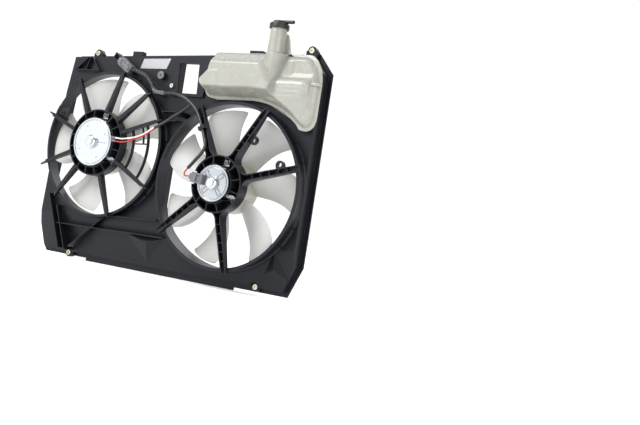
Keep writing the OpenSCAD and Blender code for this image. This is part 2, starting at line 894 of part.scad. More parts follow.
// Arms on the right end plate: where they start, and their width
right_arm_r = 13;
right_arm_w = 9;
module right_motor_can() color("#b9bcc0")
    on_axis(right_x, right_z)
        motor_can(right_can_r, right_can_d, right_can_end, right_back_d, right_ear_r, right_shaft_r);
module right_end_plate() color("#dfe3e6")
    on_axis(right_x, right_z)
        difference() {
            union() {
                end_plate(right_plate_r, right_plate_d, right_plate_t, right_can_r, right_shaft_r);
                // Four raised arms that cross behind the bearing cap
                for (i = [0 : 3])
                    rotate(42 + i * 90)
                        translate([right_arm_r, -right_arm_w / 2, right_plate_d - 1])
                            cube([right_plate_r - 7 - right_arm_r, right_arm_w, 2]);
            }
            for (i = [0 : 3])
                rotate(42 + i * 90)
                    translate([right_arm_r + 3, -right_arm_w / 2 + 1.8, right_plate_d])
                        cube([right_plate_r - 11.5 - right_arm_r, right_arm_w - 3.6, 2]);
        }
module right_bearing_cap() color("#c8ced4")
    on_axis(right_x, right_z)
        bearing_cap(right_plate_d, right_shaft_r);
module right_front_bearing() color("#a98b58")
    on_axis(right_x, right_z)
        bearing(right_can_d - 2, right_shaft_r);
module right_rear_bearing() color("#a98b58")
    on_axis(right_x, right_z)
        bearing(right_plate_d - right_plate_t - 3, right_shaft_r);
module right_magnets() color("#4a4a4c")
    on_axis(right_x, right_z)
        magnets(right_can_r, right_core[0] - 2, right_core[1] + 2);
module right_brush_holder() color("#6a5138")
    on_axis(right_x, right_z)
        brush_holder(right_can_r, right_shaft_r, right_can_end - 7, right_comm_r);
module right_motor_screws() color("#d8d8d4")
    on_axis(right_x, right_z)
        motor_screws(right_ear_r, right_back_d);
module right_shaft() color("#9da0a4")
    on_axis(right_x, right_z)
        shaft(right_shaft_r, right_face_d - 4, right_plate_d + 7);
module right_armature_core() color("#77797c")
    on_axis(right_x, right_z)
        armature_core(right_core_r, right_shaft_r, right_core[0], right_core[1], 12);
module right_windings() color("#b06a34")
    on_axis(right_x, right_z)
        windings(right_core_r, right_shaft_r, right_core[0] - 3.5, right_core[1] + 3.5);
module right_commutator() color("#b4764a")
    on_axis(right_x, right_z)
        commutator(right_shaft_r, right_comm_r, right_core[1] + 7.5, right_can_end - 5);

/* Fans */

// Stations along a blade: even steps, then closer ones round the outer corners
blade_steps = 8;
corner_steps = 5;
chord_points = 7;
function stations(r0, r1) = concat(
    [for (i = [0 : blade_steps - 1]) r0 + (r1 - blade_corner - r0) * i / blade_steps],
    [for (i = [0 : corner_steps]) r1 - blade_corner * (1 - sin(90 * i / corner_steps))]
);

// How far the blade's edges draw in at radius r to round its corners
function draw_in(r, r1) = r < r1 - blade_corner ? 0
    : blade_corner - sqrt(max(0, pow(blade_corner, 2) - pow(r - r1 + blade_corner, 2)));

// One point of a blade: s runs across the chord from 0 to 1, side is 1 on the engine face
// shape is [root width, tip width, sweep, root depth span, tip depth span, camber, middle depth, bend]
function blade_point(r, r0, r1, s, side, shape) =
    let (
        k = (r - r0) / (r1 - r0),
        width = shape[0] + (shape[1] - shape[0]) * k,
        trim = draw_in(r, r1) / (PI * r / 180),
        centre = shape[2] * (0.5 - k) + shape[7] * sin(180 * k),
        a = centre + (width - 2 * trim) * (s - 0.5),
        span = (shape[3] + (shape[4] - shape[3]) * k) * (width - 2 * trim) / width,
        bow = shape[5] * (1 - pow(2 * s - 1, 2)),
        t = blade_t * (0.25 + 0.75 * sqrt(max(0, 1 - pow(2 * s - 1, 2)))) * (1.25 - 0.5 * k) / 2
    )
    [r * cos(a), r * sin(a), shape[6] + span * (s - 0.5) + bow + side * t];

// A closed loop round the blade at radius r
function blade_loop(r, r0, r1, shape) = concat(
    [for (i = [0 : chord_points - 1]) blade_point(r, r0, r1, i / (chord_points - 1), 1, shape)],
    [for (i = [chord_points - 1 : -1 : 0]) blade_point(r, r0, r1, i / (chord_points - 1), -1, shape)]
);

// Faces that join n loops of m points, and the same with the first and last loop closed
function skin_sides(n, m) = concat(
    [for (i = [0 : n - 2], j = [0 : m - 1]) [i * m + j, i * m + (j + 1) % m, (i + 1) * m + j]],
    [for (i = [0 : n - 2], j = [0 : m - 1]) [i * m + (j + 1) % m, (i + 1) * m + (j + 1) % m, (i + 1) * m + j]]
);
function skin_faces(n, m) = concat(
    skin_sides(n, m),
    [for (j = [1 : m - 2]) [0, j + 1, j]],
    [for (j = [1 : m - 2]) [(n - 1) * m, (n - 1) * m + j, (n - 1) * m + j + 1]]
);

module blade(r0, r1, shape) {
    loops = [for (r = stations(r0, r1)) blade_loop(r, r0, r1, shape)];
    m = 2 * chord_points;
    polyhedron(
        points = [for (l = loops, p = l) p],
        faces = skin_faces(len(loops), m)
    );
}

// Hub cup of a fan: face, skirt, boss with its bore and ribs behind the face
module fan_hub(r, face, skirt, shaft_r, dome) {
    difference() {
        union() {
            rotate_extrude($fn = 120)
                polygon([
                    [0, face - dome], [r * 0.5, face - dome], [r - 5, face], [r - 1.2, face + 1.5], [r, face + 5],
                    [r, skirt], [r - 2.5, skirt], [r - 2.5, face + 5.5], [r - 5, face + 3],
                    [r * 0.5, face + 3 - dome], [0, face + 3 - dome]
                ]);
            disc(shaft_r + 7, face - dome, face + 10);
            for (i = [0 : 7])
                rotate(i * 45)
                    radial_plate([[shaft_r + 5, face + 2 - dome], [r * 0.5, face + 2 - dome], [r - 4, face + 2],
                        [r - 2, face + 12], [shaft_r + 5, face + 8]], 2);
        }
        disc(shaft_r, face - dome - 1, face + 11);
        disc(shaft_r + 5, face - dome - 1, face - dome + 2);
    }
}

left_blade_shape = [56, 46, 8, 26, 20, 4, 33, 4];
right_blade_shape = [40, 29, 10, 34, 24, 5, 34, 4];
left_fan_angle = 35.5;
right_fan_angle = 3.5;
left_skirt_d = left_back_d - 3;
right_skirt_d = right_back_d - 4;

module left_fan() color("#d6d6cc")
    on_axis(left_x, left_z) {
        fan_hub(left_hub_r, left_face_d, left_skirt_d, left_shaft_r, 0);
        for (i = [0 : left_blades - 1])
            rotate(left_fan_angle + i * 360 / left_blades)
                blade(left_hub_r - 1.2, left_ring_r - tip_gap, left_blade_shape);
    }

module right_fan() color("#d6d6cc")
    on_axis(right_x, right_z) {
        fan_hub(right_hub_r, right_face_d, right_skirt_d, right_shaft_r, 3);
        for (i = [0 : right_blades - 1])
            rotate(right_fan_angle + i * 360 / right_blades)
                blade(right_hub_r - 1.2, right_ring_r - tip_gap, right_blade_shape);
    }

// Nut that holds a fan on its shaft
module fan_nut(shaft_r, d0) {
    difference() {
        union() {
            translate([0, 0, d0 - 4])
                cylinder(h = 4, r = shaft_r + 3.6, $fn = 6);
            disc(shaft_r + 4.4, d0 - 1, d0);
        }
        disc(shaft_r, d0 - 5, d0 + 1);
    }
}

module left_fan_nut() color("#b7b9bb")
    on_axis(left_x, left_z)
        fan_nut(left_shaft_r, left_face_d + 2);

module right_fan_nut() color("#b7b9bb")
    on_axis(right_x, right_z)
        fan_nut(right_shaft_r, right_face_d - 1);

/* Reservoir */

// The underside of the reservoir follows the right ring on an arc of its own
tank_arc_c = [right_x + 22, right_z + 8];
tank_arc_r = right_ring_r + ring_t + 2;
tank_outline = concat(
    from_top([[321, -136], [333, -137], [345, -129], [350, -115], [350, -39], [346, -17], [334, 4], [321, 14],
        [92, 12], [88, -8], [76, -25], [66, -37], [66, -49], [76, -61], [80, -72], [89, -82], [105, -85]]),
    arc(tank_arc_c, tank_arc_r, 90, 50, 10)
);
tank_back_d = seam_d - 8;
// Feet of the shroud under the reservoir as [place, depth]
tank_feet = [
    [[100, body_h - 73], seam_d - seam_t / 2],
    [[332, body_h - 101], tank_back_d],
    [[318, body_h - 11], tank_back_d]
];

// Chambers of the reservoir: outlines as [across, height above the upper left corner], low and high
deep_low = [[250, -77], [262, 7], [258, 11], [98, 11], [92, -13], [92, -75]];
deep_high = [[246, -67], [222, -18], [216, -12], [104, -15], [101, -30], [101, -62], [105, -64]];
nose_low = [[130, -77], [130, -23], [84, -29], [76, -37], [76, -59], [92, -75]];
nose_high = [[130, -64], [130, -30], [102, -33], [86, -42], [80, -48], [80, -57], [90, -62]];
nose_inside = [[104, -60], [104, -40], [88, -45], [85, -49], [85, -55]];
upper_low = [
    [324, -131], [334, -129], [343, -118], [345, -39], [338, -17], [328, 1], [316, 9], [205, 9], [205, -77]
];
upper_high = [
    [320, -126], [331, -124], [338, -114], [340, -40], [333, -19], [324, -3], [314, 4], [210, 4], [210, -72]
];
ledge_low = [[318, -121], [327, -119], [334, -108], [336, -50], [333, -28], [218, -28], [218, -60]];
ledge_high = [[314, -112], [324, -111], [329, -102], [331, -56], [327, -42], [226, -42], [226, -56]];
upper_d = shallow_d - 9;
// Rounding of a chamber's front edge, as depth and width
edge_d = 6;
edge_in = 2.4;

// One chamber from its low outline at depth d0 to its high one at d1, drawn in by d all over
module chamber(low, high, d0, d1, d)
    hull() {
        slab(d0 + d, d0 + edge_d)
            polygon(from_top(inset(low, d)));
        slab(d1 - edge_d - 1, d1 - edge_d)
            polygon(from_top(inset(high, d)));
        slab(d1 - 1 - d, d1 - d)
            polygon(from_top(inset(high, d + edge_in)));
    }

// What the arc above the ring takes away from the reservoir's body, inside its seam flange
module ring_clearance(d)
    on_axis(tank_arc_c[0], tank_arc_c[1])
        disc(tank_arc_r + seam_w + d, -1, deep_d + 2, $fn = 180);

module neck_place()
    translate([neck_x, -neck_d, 0])
        children();

// Column in which the neck runs down into the deep chamber, drawn in by d
column_h = 76;
column_r = [8, neck_r + 2];
module neck_column(d)
    neck_place()
        translate([0, 0, tank_top - column_h])
            cylinder(h = column_h + 2, r1 = column_r[0] - d, r2 = column_r[1] - d);

module reservoir_tank() color("#cdcfc4")
    difference() {
        union() {
            slab(seam_d - seam_t / 2, seam_d + seam_t / 2)
                polygon(tank_outline);
            chamber(deep_low, deep_high, seam_d - seam_t / 2, deep_d, 0);
            chamber(nose_low, nose_high, seam_d - seam_t / 2, deep_d, 0);
            difference() {
                union() {
                    chamber(upper_low, upper_high, tank_back_d, upper_d, 0);
                    chamber(ledge_low, ledge_high, tank_back_d + 4, shallow_d, 0);
                }
                ring_clearance(0);
            }
            neck_column(0);
            neck_place()
                translate([0, 0, tank_top - 8])
                    cylinder(h = neck_h + 8, r1 = neck_r + 1, r2 = neck_r);
            // Web beside the neck, in the plane of the seam
            slab(seam_d - seam_t / 2, seam_d + seam_t / 2)
                translate([neck_x, tank_top])
                    polygon([
                        [8, -4], [47, -4], [41, 6], [35, neck_h - 22], [28, neck_h - 16], [8, neck_h - 16]
                    ]);
            // Rib on the ledge panel, and the tab beside it
            slab(upper_d, shallow_d + 1.5)
                translate([right_x + 146, body_h - 80])
                    square([3, 34]);
            slab(upper_d - 4, upper_d + 4)
                translate([right_x + 158, body_h - 48])
                    square([19, 5]);
        }
        chamber(deep_low, deep_high, seam_d - seam_t / 2, deep_d, tank_wall);
        slab(seam_d + 2, deep_d - edge_d)
            polygon(from_top(nose_inside));
        difference() {
            union() {
                chamber(upper_low, upper_high, tank_back_d, upper_d, tank_wall);
                chamber(ledge_low, ledge_high, tank_back_d + 4, shallow_d, tank_wall);
            }
            ring_clearance(tank_wall);
        }
        neck_column(tank_wall);
        neck_place()
            translate([0, 0, tank_top - 8])
                cylinder(h = neck_h + 10, r = neck_r - tank_wall);
    }

module cap_place() {
    neck_place()
        translate([0, 0, neck_top])
            children();
}

cap_wall = 2;
cap_drop = 9;
module reservoir_cap() color("#141414")
    cap_place()
        difference() {
            union() {
                translate([0, 0, -cap_drop])
                    cylinder(h = cap_drop, r = neck_r + fit_gap + cap_wall + 1.5);
                cylinder(h = 2.5, r1 = neck_r + fit_gap + cap_wall + 1.5, r2 = neck_r - 1);
                translate([0, 0, 2.5])
                    cylinder(h = 4, r1 = neck_r - 3, r2 = neck_r - 4);
                translate([0, 0, 5.6])
                    rotate([0, 90, 0])
                        cylinder(h = neck_r + 13, r = 3.4, $fn = 32);
            }
            translate([0, 0, -cap_drop - 1])
                cylinder(h = cap_drop + 1, r = neck_r + fit_gap + 0.7);
            translate([neck_r + 2, 0, 5.6])
                rotate([0, 90, 0])
                    cylinder(h = 12, r = 1.8, $fn = 32);
        }

module cap_seal() color("#2b2b2b")
    cap_place()
        translate([0, 0, -3.5])
            difference() {
                cylinder(h = 3.5, r = neck_r - tank_wall - fit_gap);
                translate([0, 0, -1])
                    cylinder(h = 3.5, r = neck_r - tank_wall - 3);
            }

module screw(p, d, r, head) {
    slab(d - 5, d + 1)
        translate(p)
            circle(r, $fn = 32);
    slab(d, d + 3)
        difference() {
            translate(p)
                circle(head, $fn = 32);
            translate(p)
                circle(head * 0.45, $fn = 6);
        }
}

module panel_screw() color("#d9d9d2")
    screw(screw_at, panel_d + 6, 2.2, 4.5);

module round_grommet() color("#5b5d5f")
    slab(panel_d + 1, panel_d + 11)
        difference() {
            translate(grommet_at)
                circle(5);
            translate(grommet_at)
                circle(2);
        }

module label_plate() color("#f1f1ee")
    slab(panel_d, panel_d + 0.5)
        polygon(from_top([[-111, -28], [-39, -26], [-30, -3], [-104, -6]]));

/* Harness */

// Frames along a route of [across, depth, height] points, as [side, up] pairs
function route_xyz(p) = [for (q = p) [q[0], -q[1], q[2]]];
function direction(p, i) = unit(p[min(i + 1, len(p) - 1)] - p[max(i - 1, 0)]);
function tube_loop(p, i, r, n) =
    let (
        d = direction(p, i),
        a = unit(cross(d, [0.31, 0.9, 0.2])),
        b = cross(d, a)
    )
    [for (j = [0 : n - 1]) p[i] + r * (cos(360 * j / n) * a + sin(360 * j / n) * b)];

// A tube of n sides swept along a route
module swept(route, r, n = 8) {
    p = route_xyz(route);
    polyhedron(
        points = [for (i = [0 : len(p) - 1]) each tube_loop(p, i, r, n)],
        faces = skin_faces(len(p), n)
    );
}

trunk_route = [[-124, 46, 427], [-115, 48, 427], [-105, 50, 425.5], [-94, 51, 422], [-80, 51, 417],
    [-68, 52, 410], [-58, 54, 402], [-50, 56, 394], [-44, 58, 387]];
sleeve_route = [[-44, 58, 387], [-36, 59, 382], [-26, 61, 380], [-16, 63, 379], [-6, 65, 378]];
right_tube_route = [
    [-6, 65, 378], [8, 66, 379], [22, 68, 378], [36, 70, 375], [50, 71, 371], [62, 72, 365], [74, 73, 358],
    [86, 74.6, 349], [96, 75.9, 338], [104, 78, 327], [112, 80.2, 315], [119, 82.3, 303], [126, 84.5, 291],
    [132, 86.6, 281], [134, 89.5, 270], [131, 93, 258], [124, 96, 246], [116, 97.5, 235], [108, 98, 225]
];
left_tube_route = [
    [-10, 76, 302], [2, 73, 310], [14, 70, 319], [26, 68, 329], [38, 66, 338], [50, 65.5, 346], [60, 66, 353],
    [67, 67, 359]
];
white_route = [
    [-116.6, 82.6, 272], [-106, 83, 271.5], [-95, 84, 271], [-84, 84, 271], [-72, 83, 273], [-58, 82, 276],
    [-46, 81, 280], [-34, 80, 285], [-22, 78, 294], [-10, 76, 303.5]
];
red_route = [
    [-115.3, 82.6, 266], [-106, 83, 265], [-95, 84, 264], [-84, 84, 264], [-70, 83, 267], [-56, 82, 272],
    [-44, 81, 277], [-32, 80, 283], [-20, 78, 291], [-9, 76, 300.5]
];
right_lead_route = [
    [108, 98, 225], [104, 99, 219], [103.5, 101, 213], [107, 103, 209.5], [113, 103.5, 209],
    [120.7, 103.5, 209.5]
];
sleeve_r_outer = trunk_r - 0.6;
sleeve_clip_d = 51;
left_clip_d = 59;

module harness_trunk() color("#1b1b1c") swept(trunk_route, trunk_r, 10);
module trunk_sleeve() color("#6e7072") swept(sleeve_route, sleeve_r_outer, 10);
module right_motor_tube() color("#141415") swept(right_tube_route, tube_r, 8);
module left_motor_tube() color("#141415") swept(left_tube_route, tube_r, 8);
module white_lead() color("#e8e8e4") swept(white_route, lead_r, 8);
module red_lead() color("#c0322f") swept(red_route, lead_r, 8);
module right_motor_lead() color("#b53a36") swept(right_lead_route, lead_r, 8);

// Grey plug of the harness, lying askew on the upper panel
plug_d = 44;
module connector_place() {
    translate([-140, -plug_d, body_h - 26])
        rotate([0, 32, 0])
            children();
}

module harness_connector() color("#5f6163")
    connector_place()
        difference() {
            union() {
                translate([-19, -8, -10])
                    cube([38, 16, 20]);
                translate([-22, -10, -6])
                    cube([10, 20, 12]);
                translate([-6, -11, -4])
                    cube([22, 6, 8]);
                // Foot that stands on the panel
                translate([-12, 7, -5])
                    cube([18, plug_d - panel_d - 7, 10]);
            }
            for (i = [-1, 1])
                translate([-24, -5 + (i - 1) / 2, i * 3 - 2])
                    cube([14, 6, 3.4]);
        }

module connector_clip() color("#121213")
    connector_place()
        difference() {
            translate([-44, -3, -8])
                cube([22 - fit_gap, plug_d - panel_d + 3, 15]);
            translate([-40, -8, -4])
                cube([12, 11, 7]);
        }

// Fork that grips a round bundle of radius r at point i of a route, on a post whose top is at depth d
module saddle(route, i, r, d) {
    p = route[i];
    run = route[i + 1] - route[i - 1];
    seat = p[1] - r * 0.9;
    module place()
        translate([p[0], p[2]])
            rotate(atan2(run[2], run[0]))
                children();
    slab(d, seat)
        place()
            square([8, 2 * r + 4], center = true);
    for (e = [-1, 1])
        slab(seat - 1, p[1] + r * 0.7)
            place()
                translate([-4, e * (r + 1) - 1])
                    square([8, 2]);
}

// Clips that hold the harness: two forks on posts, and a bridge over the tube on the right carrier's spoke
bridge_r = 124;
module harness_clips() color("#101011") {
    saddle(sleeve_route, 1, sleeve_r_outer, sleeve_clip_d);
    saddle(left_tube_route, 4, tube_r, left_clip_d);
    on_axis(right_x, right_z)
        rotate(right_spokes[0][0])
            translate([bridge_r - 4, 0, spoke_front(bridge_r) - 5])
                difference() {
                    translate([0, -spoke_w / 2 - 1.6, 0])
                        cube([8, spoke_w + 3.2, 2 * tube_r + 7]);
                    translate([-1, -spoke_w / 2, -1])
                        cube([10, spoke_w, 2 * tube_r + 6.2]);
                }
}

module right_motor_connector() color("#56585a")
    on_axis(right_x, right_z)
        rotate(plug_angle)
            translate([22, -11, right_plate_d])
                difference() {
                    union() {
                        cube([26, 20, 9]);
                        translate([20, 4, 0])
                            cube([12, 12, 7]);
                    }
                    translate([3, 3, 6])
                        cube([12, 14, 4]);
                }

shroud_frame();
shroud_panel();
left_fan_ring();
right_fan_ring();
left_motor_carrier();
right_motor_carrier();
mount_sleeves();
reservoir_tank();
reservoir_cap();
cap_seal();
label_plate();
round_grommet();
panel_screw();
left_motor_can();
left_end_plate();
left_bearing_cap();
left_front_bearing();
left_rear_bearing();
left_magnets();
left_brush_holder();
left_motor_screws();
left_shaft();
left_armature_core();
left_windings();
left_commutator();
left_fan();
left_fan_nut();
right_motor_can();
right_end_plate();
right_bearing_cap();
right_front_bearing();
right_rear_bearing();
right_magnets();
right_brush_holder();
right_motor_screws();
right_shaft();
right_armature_core();
right_windings();
right_commutator();
right_fan();
right_fan_nut();
harness_connector();
connector_clip();
harness_trunk();
trunk_sleeve();
harness_clips();
right_motor_tube();
left_motor_tube();
white_lead();
red_lead();
right_motor_lead();
right_motor_connector();
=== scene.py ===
"""Dual electric radiator fan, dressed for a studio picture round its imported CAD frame."""

import json
import math

import bmesh
import bpy
from bpy.props import FloatProperty, FloatVectorProperty, IntProperty, PointerProperty
from mathutils import Matrix, Vector


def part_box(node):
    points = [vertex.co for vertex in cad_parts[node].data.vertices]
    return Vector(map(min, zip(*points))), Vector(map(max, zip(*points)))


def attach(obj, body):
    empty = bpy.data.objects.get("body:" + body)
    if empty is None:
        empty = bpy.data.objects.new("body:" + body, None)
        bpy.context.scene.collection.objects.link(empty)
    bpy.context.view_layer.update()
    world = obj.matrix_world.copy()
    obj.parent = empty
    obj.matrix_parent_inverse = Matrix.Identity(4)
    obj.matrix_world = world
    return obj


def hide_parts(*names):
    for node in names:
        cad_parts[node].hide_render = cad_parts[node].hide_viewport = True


bl_info = {
    "name": "Radiator Fan Dressing",
    "version": (1, 0, 0),
    "blender": (4, 5, 0),
    "location": "View3D > Sidebar > Radiator Fan",
    "description": "Finishes, blades, reservoir and harness of a dual radiator fan",
    "category": "Object",
}

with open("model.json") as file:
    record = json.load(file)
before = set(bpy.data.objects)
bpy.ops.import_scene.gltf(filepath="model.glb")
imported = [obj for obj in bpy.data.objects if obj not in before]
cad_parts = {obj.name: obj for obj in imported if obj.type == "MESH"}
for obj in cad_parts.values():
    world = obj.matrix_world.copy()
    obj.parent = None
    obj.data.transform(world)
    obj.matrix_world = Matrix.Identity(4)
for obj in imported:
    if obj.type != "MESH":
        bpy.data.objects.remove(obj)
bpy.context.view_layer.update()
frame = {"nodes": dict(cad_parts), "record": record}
CAD = frame["nodes"]
SLOT_OF = {row["node"]: row["material_slot"] for row in frame["record"]["subparts"]}
MM = 0.001
MERGE_DISTANCE = 1e-6

# Directions: towards the engine, across to the right, and up
ENGINE = Vector((0, -1, 0))
ACROSS = Vector((1, 0, 0))
UP = Vector((0, 0, 1))

# Fan axes as (across, height) in millimetres
LEFT_AXIS = (-167.0, 258.0)
RIGHT_AXIS = (174.0, 201.0)


def colour_property(name, description, default):
    return FloatVectorProperty(
        name=name, description=description, subtype="COLOR", size=3, min=0, max=1, default=default
    )


def length_property(name, description, default):
    return FloatProperty(
        name=name, description=description, subtype="DISTANCE", unit="LENGTH", default=default
    )


def power_property(name, description, default):
    return FloatProperty(name=name, description=description, unit="POWER", default=default)


def count_property(name, description, default, low, high):
    return IntProperty(name=name, description=description, default=default, min=low, max=high)


class RadiatorFanFinishes(bpy.types.PropertyGroup):
    """Colours of the finishes."""

    moulding: colour_property("Moulding", "Black glass-filled shroud plastic", (0.0065, 0.0070, 0.0092))
    blades: colour_property("Blades", "Natural nylon of the two fans", (0.465, 0.465, 0.455))
    hub_tint: colour_property("Hub tint", "Yellower nylon where the fans are thick", (0.40, 0.385, 0.32))
    reservoir: colour_property("Reservoir", "Translucent polyethylene", (0.325, 0.33, 0.308))
    cap: colour_property("Cap", "Filler cap plastic", (0.007, 0.007, 0.008))
    zinc: colour_property("Zinc", "Bright zinc plate on the motors", (0.60, 0.63, 0.66))
    passivate: colour_property("Passivate", "Yellow passivated steel sleeves", (0.66, 0.62, 0.47))
    plug: colour_property("Plug", "Grey connector plastic", (0.12, 0.122, 0.13))
    red_wire: colour_property("Red wire", "Insulation of the positive lead", (0.42, 0.018, 0.014))
    white_wire: colour_property("White wire", "Insulation of the negative lead", (0.78, 0.78, 0.75))


class RadiatorFanHarness(bpy.types.PropertyGroup):
    """Thicknesses of the harness."""

    trunk_radius: length_property("Trunk radius", "Radius of the taped bundle", 0.005)
    sleeve_radius: length_property("Sleeve radius", "Radius of the woven sleeve", 0.0044)
    tube_radius: length_property("Tube radius", "Radius of the vinyl tubes", 0.0034)
    lead_radius: length_property("Lead radius", "Radius of a single wire", 0.0015)


class RadiatorFanBlades(bpy.types.PropertyGroup):
    """Shape of the two fans."""

    left_count: count_property("Left blades", "Blades on the left fan", 5, 3, 6)
    right_count: count_property("Right blades", "Blades on the right fan", 7, 5, 8)
    tip_gap: length_property("Tip gap", "Gap between the blade tips and their ring", 0.007)
    corner: length_property("Corner", "Radius of a blade's outer corners", 0.006)
    thickness: length_property("Thickness", "Thickness of a blade at its middle", 0.003)


class RadiatorFanReservoir(bpy.types.PropertyGroup):
    """Shape of the reservoir."""

    softness: length_property("Softness", "How far the edges of the chambers are rounded", 0.007)
    skin_step: length_property("Skin step", "Mesh size of the chambers' skin", 0.0012)
    neck_radius: length_property("Neck radius", "Outer radius of the filler neck", 0.0165)


class RadiatorFanStage(bpy.types.PropertyGroup):
    """Camera, light and floor."""

    lens: FloatProperty(name="Lens", description="Focal length of the camera in millimetres", default=44.80)
    floor: colour_property("Floor", "Pale studio floor", (0.94, 0.94, 0.94))
    floor_height: length_property("Floor height", "Height of the floor under the flange", -0.0062)
    key_power: power_property("Key light", "Power of the large softbox", 70)
    front_power: power_property("Front light", "Power of the low softbox", 11)
    fill_power: power_property("Fill light", "Power of the side and rim softboxes", 22)
    surround: FloatProperty(name="Surround", description="Strength of the white surround", default=0.6)
    floor_glow: FloatProperty(name="Floor glow", description="Light of the floor itself", default=0.35)
    backdrop: FloatProperty(name="Backdrop", description="Glow of the white backdrop", default=1.1)


# Shader helpers


def node(tree, kind, **values):
    """A shader node with its properties and input defaults set."""
    made = tree.nodes.new(kind)
    for key, value in values.items():
        if hasattr(made, key):
            setattr(made, key, value)
        else:
            made.inputs[key.replace("_", " ")].default_value = value
    return made


def math_node(tree, operation, first, second=None):
    made = tree.nodes.new("ShaderNodeMath")
    made.operation = operation
    for socket, value in zip(made.inputs, (first, second)):
        if value is None:
            continue
        if isinstance(value, bpy.types.NodeSocket):
            tree.links.new(value, socket)
        else:
            socket.default_value = value
    return made.outputs[0]


def mix_colour(tree, factor, first, second, blend="MIX"):
    made = tree.nodes.new("ShaderNodeMix")
    made.data_type = "RGBA"
    made.blend_type = blend
    for socket, value in ((made.inputs[0], factor), (made.inputs[6], first), (made.inputs[7], second)):
        if isinstance(value, bpy.types.NodeSocket):
            tree.links.new(value, socket)
        elif isinstance(value, (int, float)):
            socket.default_value = value
        else:
            socket.default_value = (*value, 1.0)[:4]
    return made.outputs[2]


def object_place(tree):
    return tree.nodes.new("ShaderNodeTexCoord").outputs["Object"]


def rough_between(tree, shader, value, low, high):
    """Roughness that runs from low to high with a value."""
    spread = node(tree, "ShaderNodeMapRange", To_Min=low, To_Max=high)
    tree.links.new(value, spread.inputs["Value"])
    tree.links.new(spread.outputs[0], shader.inputs["Roughness"])


def new_group(name, inputs, outputs):
    """An empty shader node group with its named sockets, as (tree, input node, output node)."""
    tree = bpy.data.node_groups.new(name, "ShaderNodeTree")
    for label, kind, default in inputs:
        socket = tree.interface.new_socket(label, in_out="INPUT", socket_type=kind)
        if default is not None:
            socket.default_value = default
    for label, kind in outputs:
        tree.interface.new_socket(label, in_out="OUTPUT", socket_type=kind)
    return tree, tree.nodes.new("NodeGroupInput"), tree.nodes.new("NodeGroupOutput")


def rounded_edge_group():
    """Rounds sharp edges for the light, and says where they are."""
    tree, inlet, outlet = new_group(
        "Rounded Edge",
        [("Radius", "NodeSocketFloat", 0.001)],
        [("Normal", "NodeSocketVector"), ("Edge", "NodeSocketFloat")],
    )
    bevel = node(tree, "ShaderNodeBevel", samples=6)
    tree.links.new(inlet.outputs["Radius"], bevel.inputs["Radius"])
    geometry = tree.nodes.new("ShaderNodeNewGeometry")
    dot = node(tree, "ShaderNodeVectorMath", operation="DOT_PRODUCT")
    tree.links.new(bevel.outputs[0], dot.inputs[0])
    tree.links.new(geometry.outputs["True Normal"], dot.inputs[1])
    edge = node(tree, "ShaderNodeMapRange", From_Min=0.99, From_Max=0.78)
    tree.links.new(dot.outputs["Value"], edge.inputs["Value"])
    tree.links.new(bevel.outputs[0], outlet.inputs["Normal"])
    tree.links.new(edge.outputs[0], outlet.inputs["Edge"])
    return tree


def moulded_skin_group():
    """Fine grain, slow flow marks and handling marks of a moulded surface."""
    tree, inlet, outlet = new_group(
        "Moulded Skin",
        [("Grain Scale", "NodeSocketFloat", 900.0), ("Flow Scale", "NodeSocketFloat", 14.0)],
        [("Grain", "NodeSocketFloat"), ("Flow", "NodeSocketFloat"), ("Rub", "NodeSocketFloat")],
    )
    place = object_place(tree)
    grain = node(tree, "ShaderNodeTexNoise", Detail=3.0, Roughness=0.6)
    flow = node(tree, "ShaderNodeTexNoise", Detail=4.0, Roughness=0.55, Distortion=0.6)
    rub = node(tree, "ShaderNodeTexNoise", Scale=55.0, Detail=8.0, Roughness=0.75)
    for noise, label in ((grain, "Grain Scale"), (flow, "Flow Scale")):
        tree.links.new(inlet.outputs[label], noise.inputs["Scale"])
    for noise in (grain, flow, rub):
        tree.links.new(place, noise.inputs["Vector"])
    worn = node(tree, "ShaderNodeMapRange", From_Min=0.52, From_Max=0.74)
    tree.links.new(rub.outputs["Fac"], worn.inputs["Value"])
    tree.links.new(grain.outputs["Fac"], outlet.inputs["Grain"])
    tree.links.new(flow.outputs["Fac"], outlet.inputs["Flow"])
    tree.links.new(worn.outputs[0], outlet.inputs["Rub"])
    return tree


def axis_distance_group():
    """Distance from a fan axis, from 0 at Inner to 1 at Outer."""
    tree, inlet, outlet = new_group(
        "Axis Distance",
        [
            ("Across", "NodeSocketFloat", 0.0),
            ("Height", "NodeSocketFloat", 0.0),
            ("Inner", "NodeSocketFloat", 0.05),
            ("Outer", "NodeSocketFloat", 0.08),
        ],
        [("Ramp", "NodeSocketFloat"), ("Distance", "NodeSocketFloat")],
    )
    split = tree.nodes.new("ShaderNodeSeparateXYZ")
    tree.links.new(object_place(tree), split.inputs[0])
    across = math_node(tree, "SUBTRACT", split.outputs["X"], inlet.outputs["Across"])
    height = math_node(tree, "SUBTRACT", split.outputs["Z"], inlet.outputs["Height"])
    squares = [math_node(tree, "MULTIPLY", run, run) for run in (across, height)]
    distance = math_node(tree, "SQRT", math_node(tree, "ADD", *squares))
    ramp = tree.nodes.new("ShaderNodeMapRange")
    ramp.interpolation_type = "SMOOTHSTEP"
    tree.links.new(distance, ramp.inputs["Value"])
    tree.links.new(inlet.outputs["Inner"], ramp.inputs["From Min"])
    tree.links.new(inlet.outputs["Outer"], ramp.inputs["From Max"])
    tree.links.new(ramp.outputs[0], outlet.inputs["Ramp"])
    tree.links.new(distance, outlet.inputs["Distance"])
    return tree


GROUP_MAKERS = {
    "Rounded Edge": rounded_edge_group,
    "Moulded Skin": moulded_skin_group,
    "Axis Distance": axis_distance_group,
}


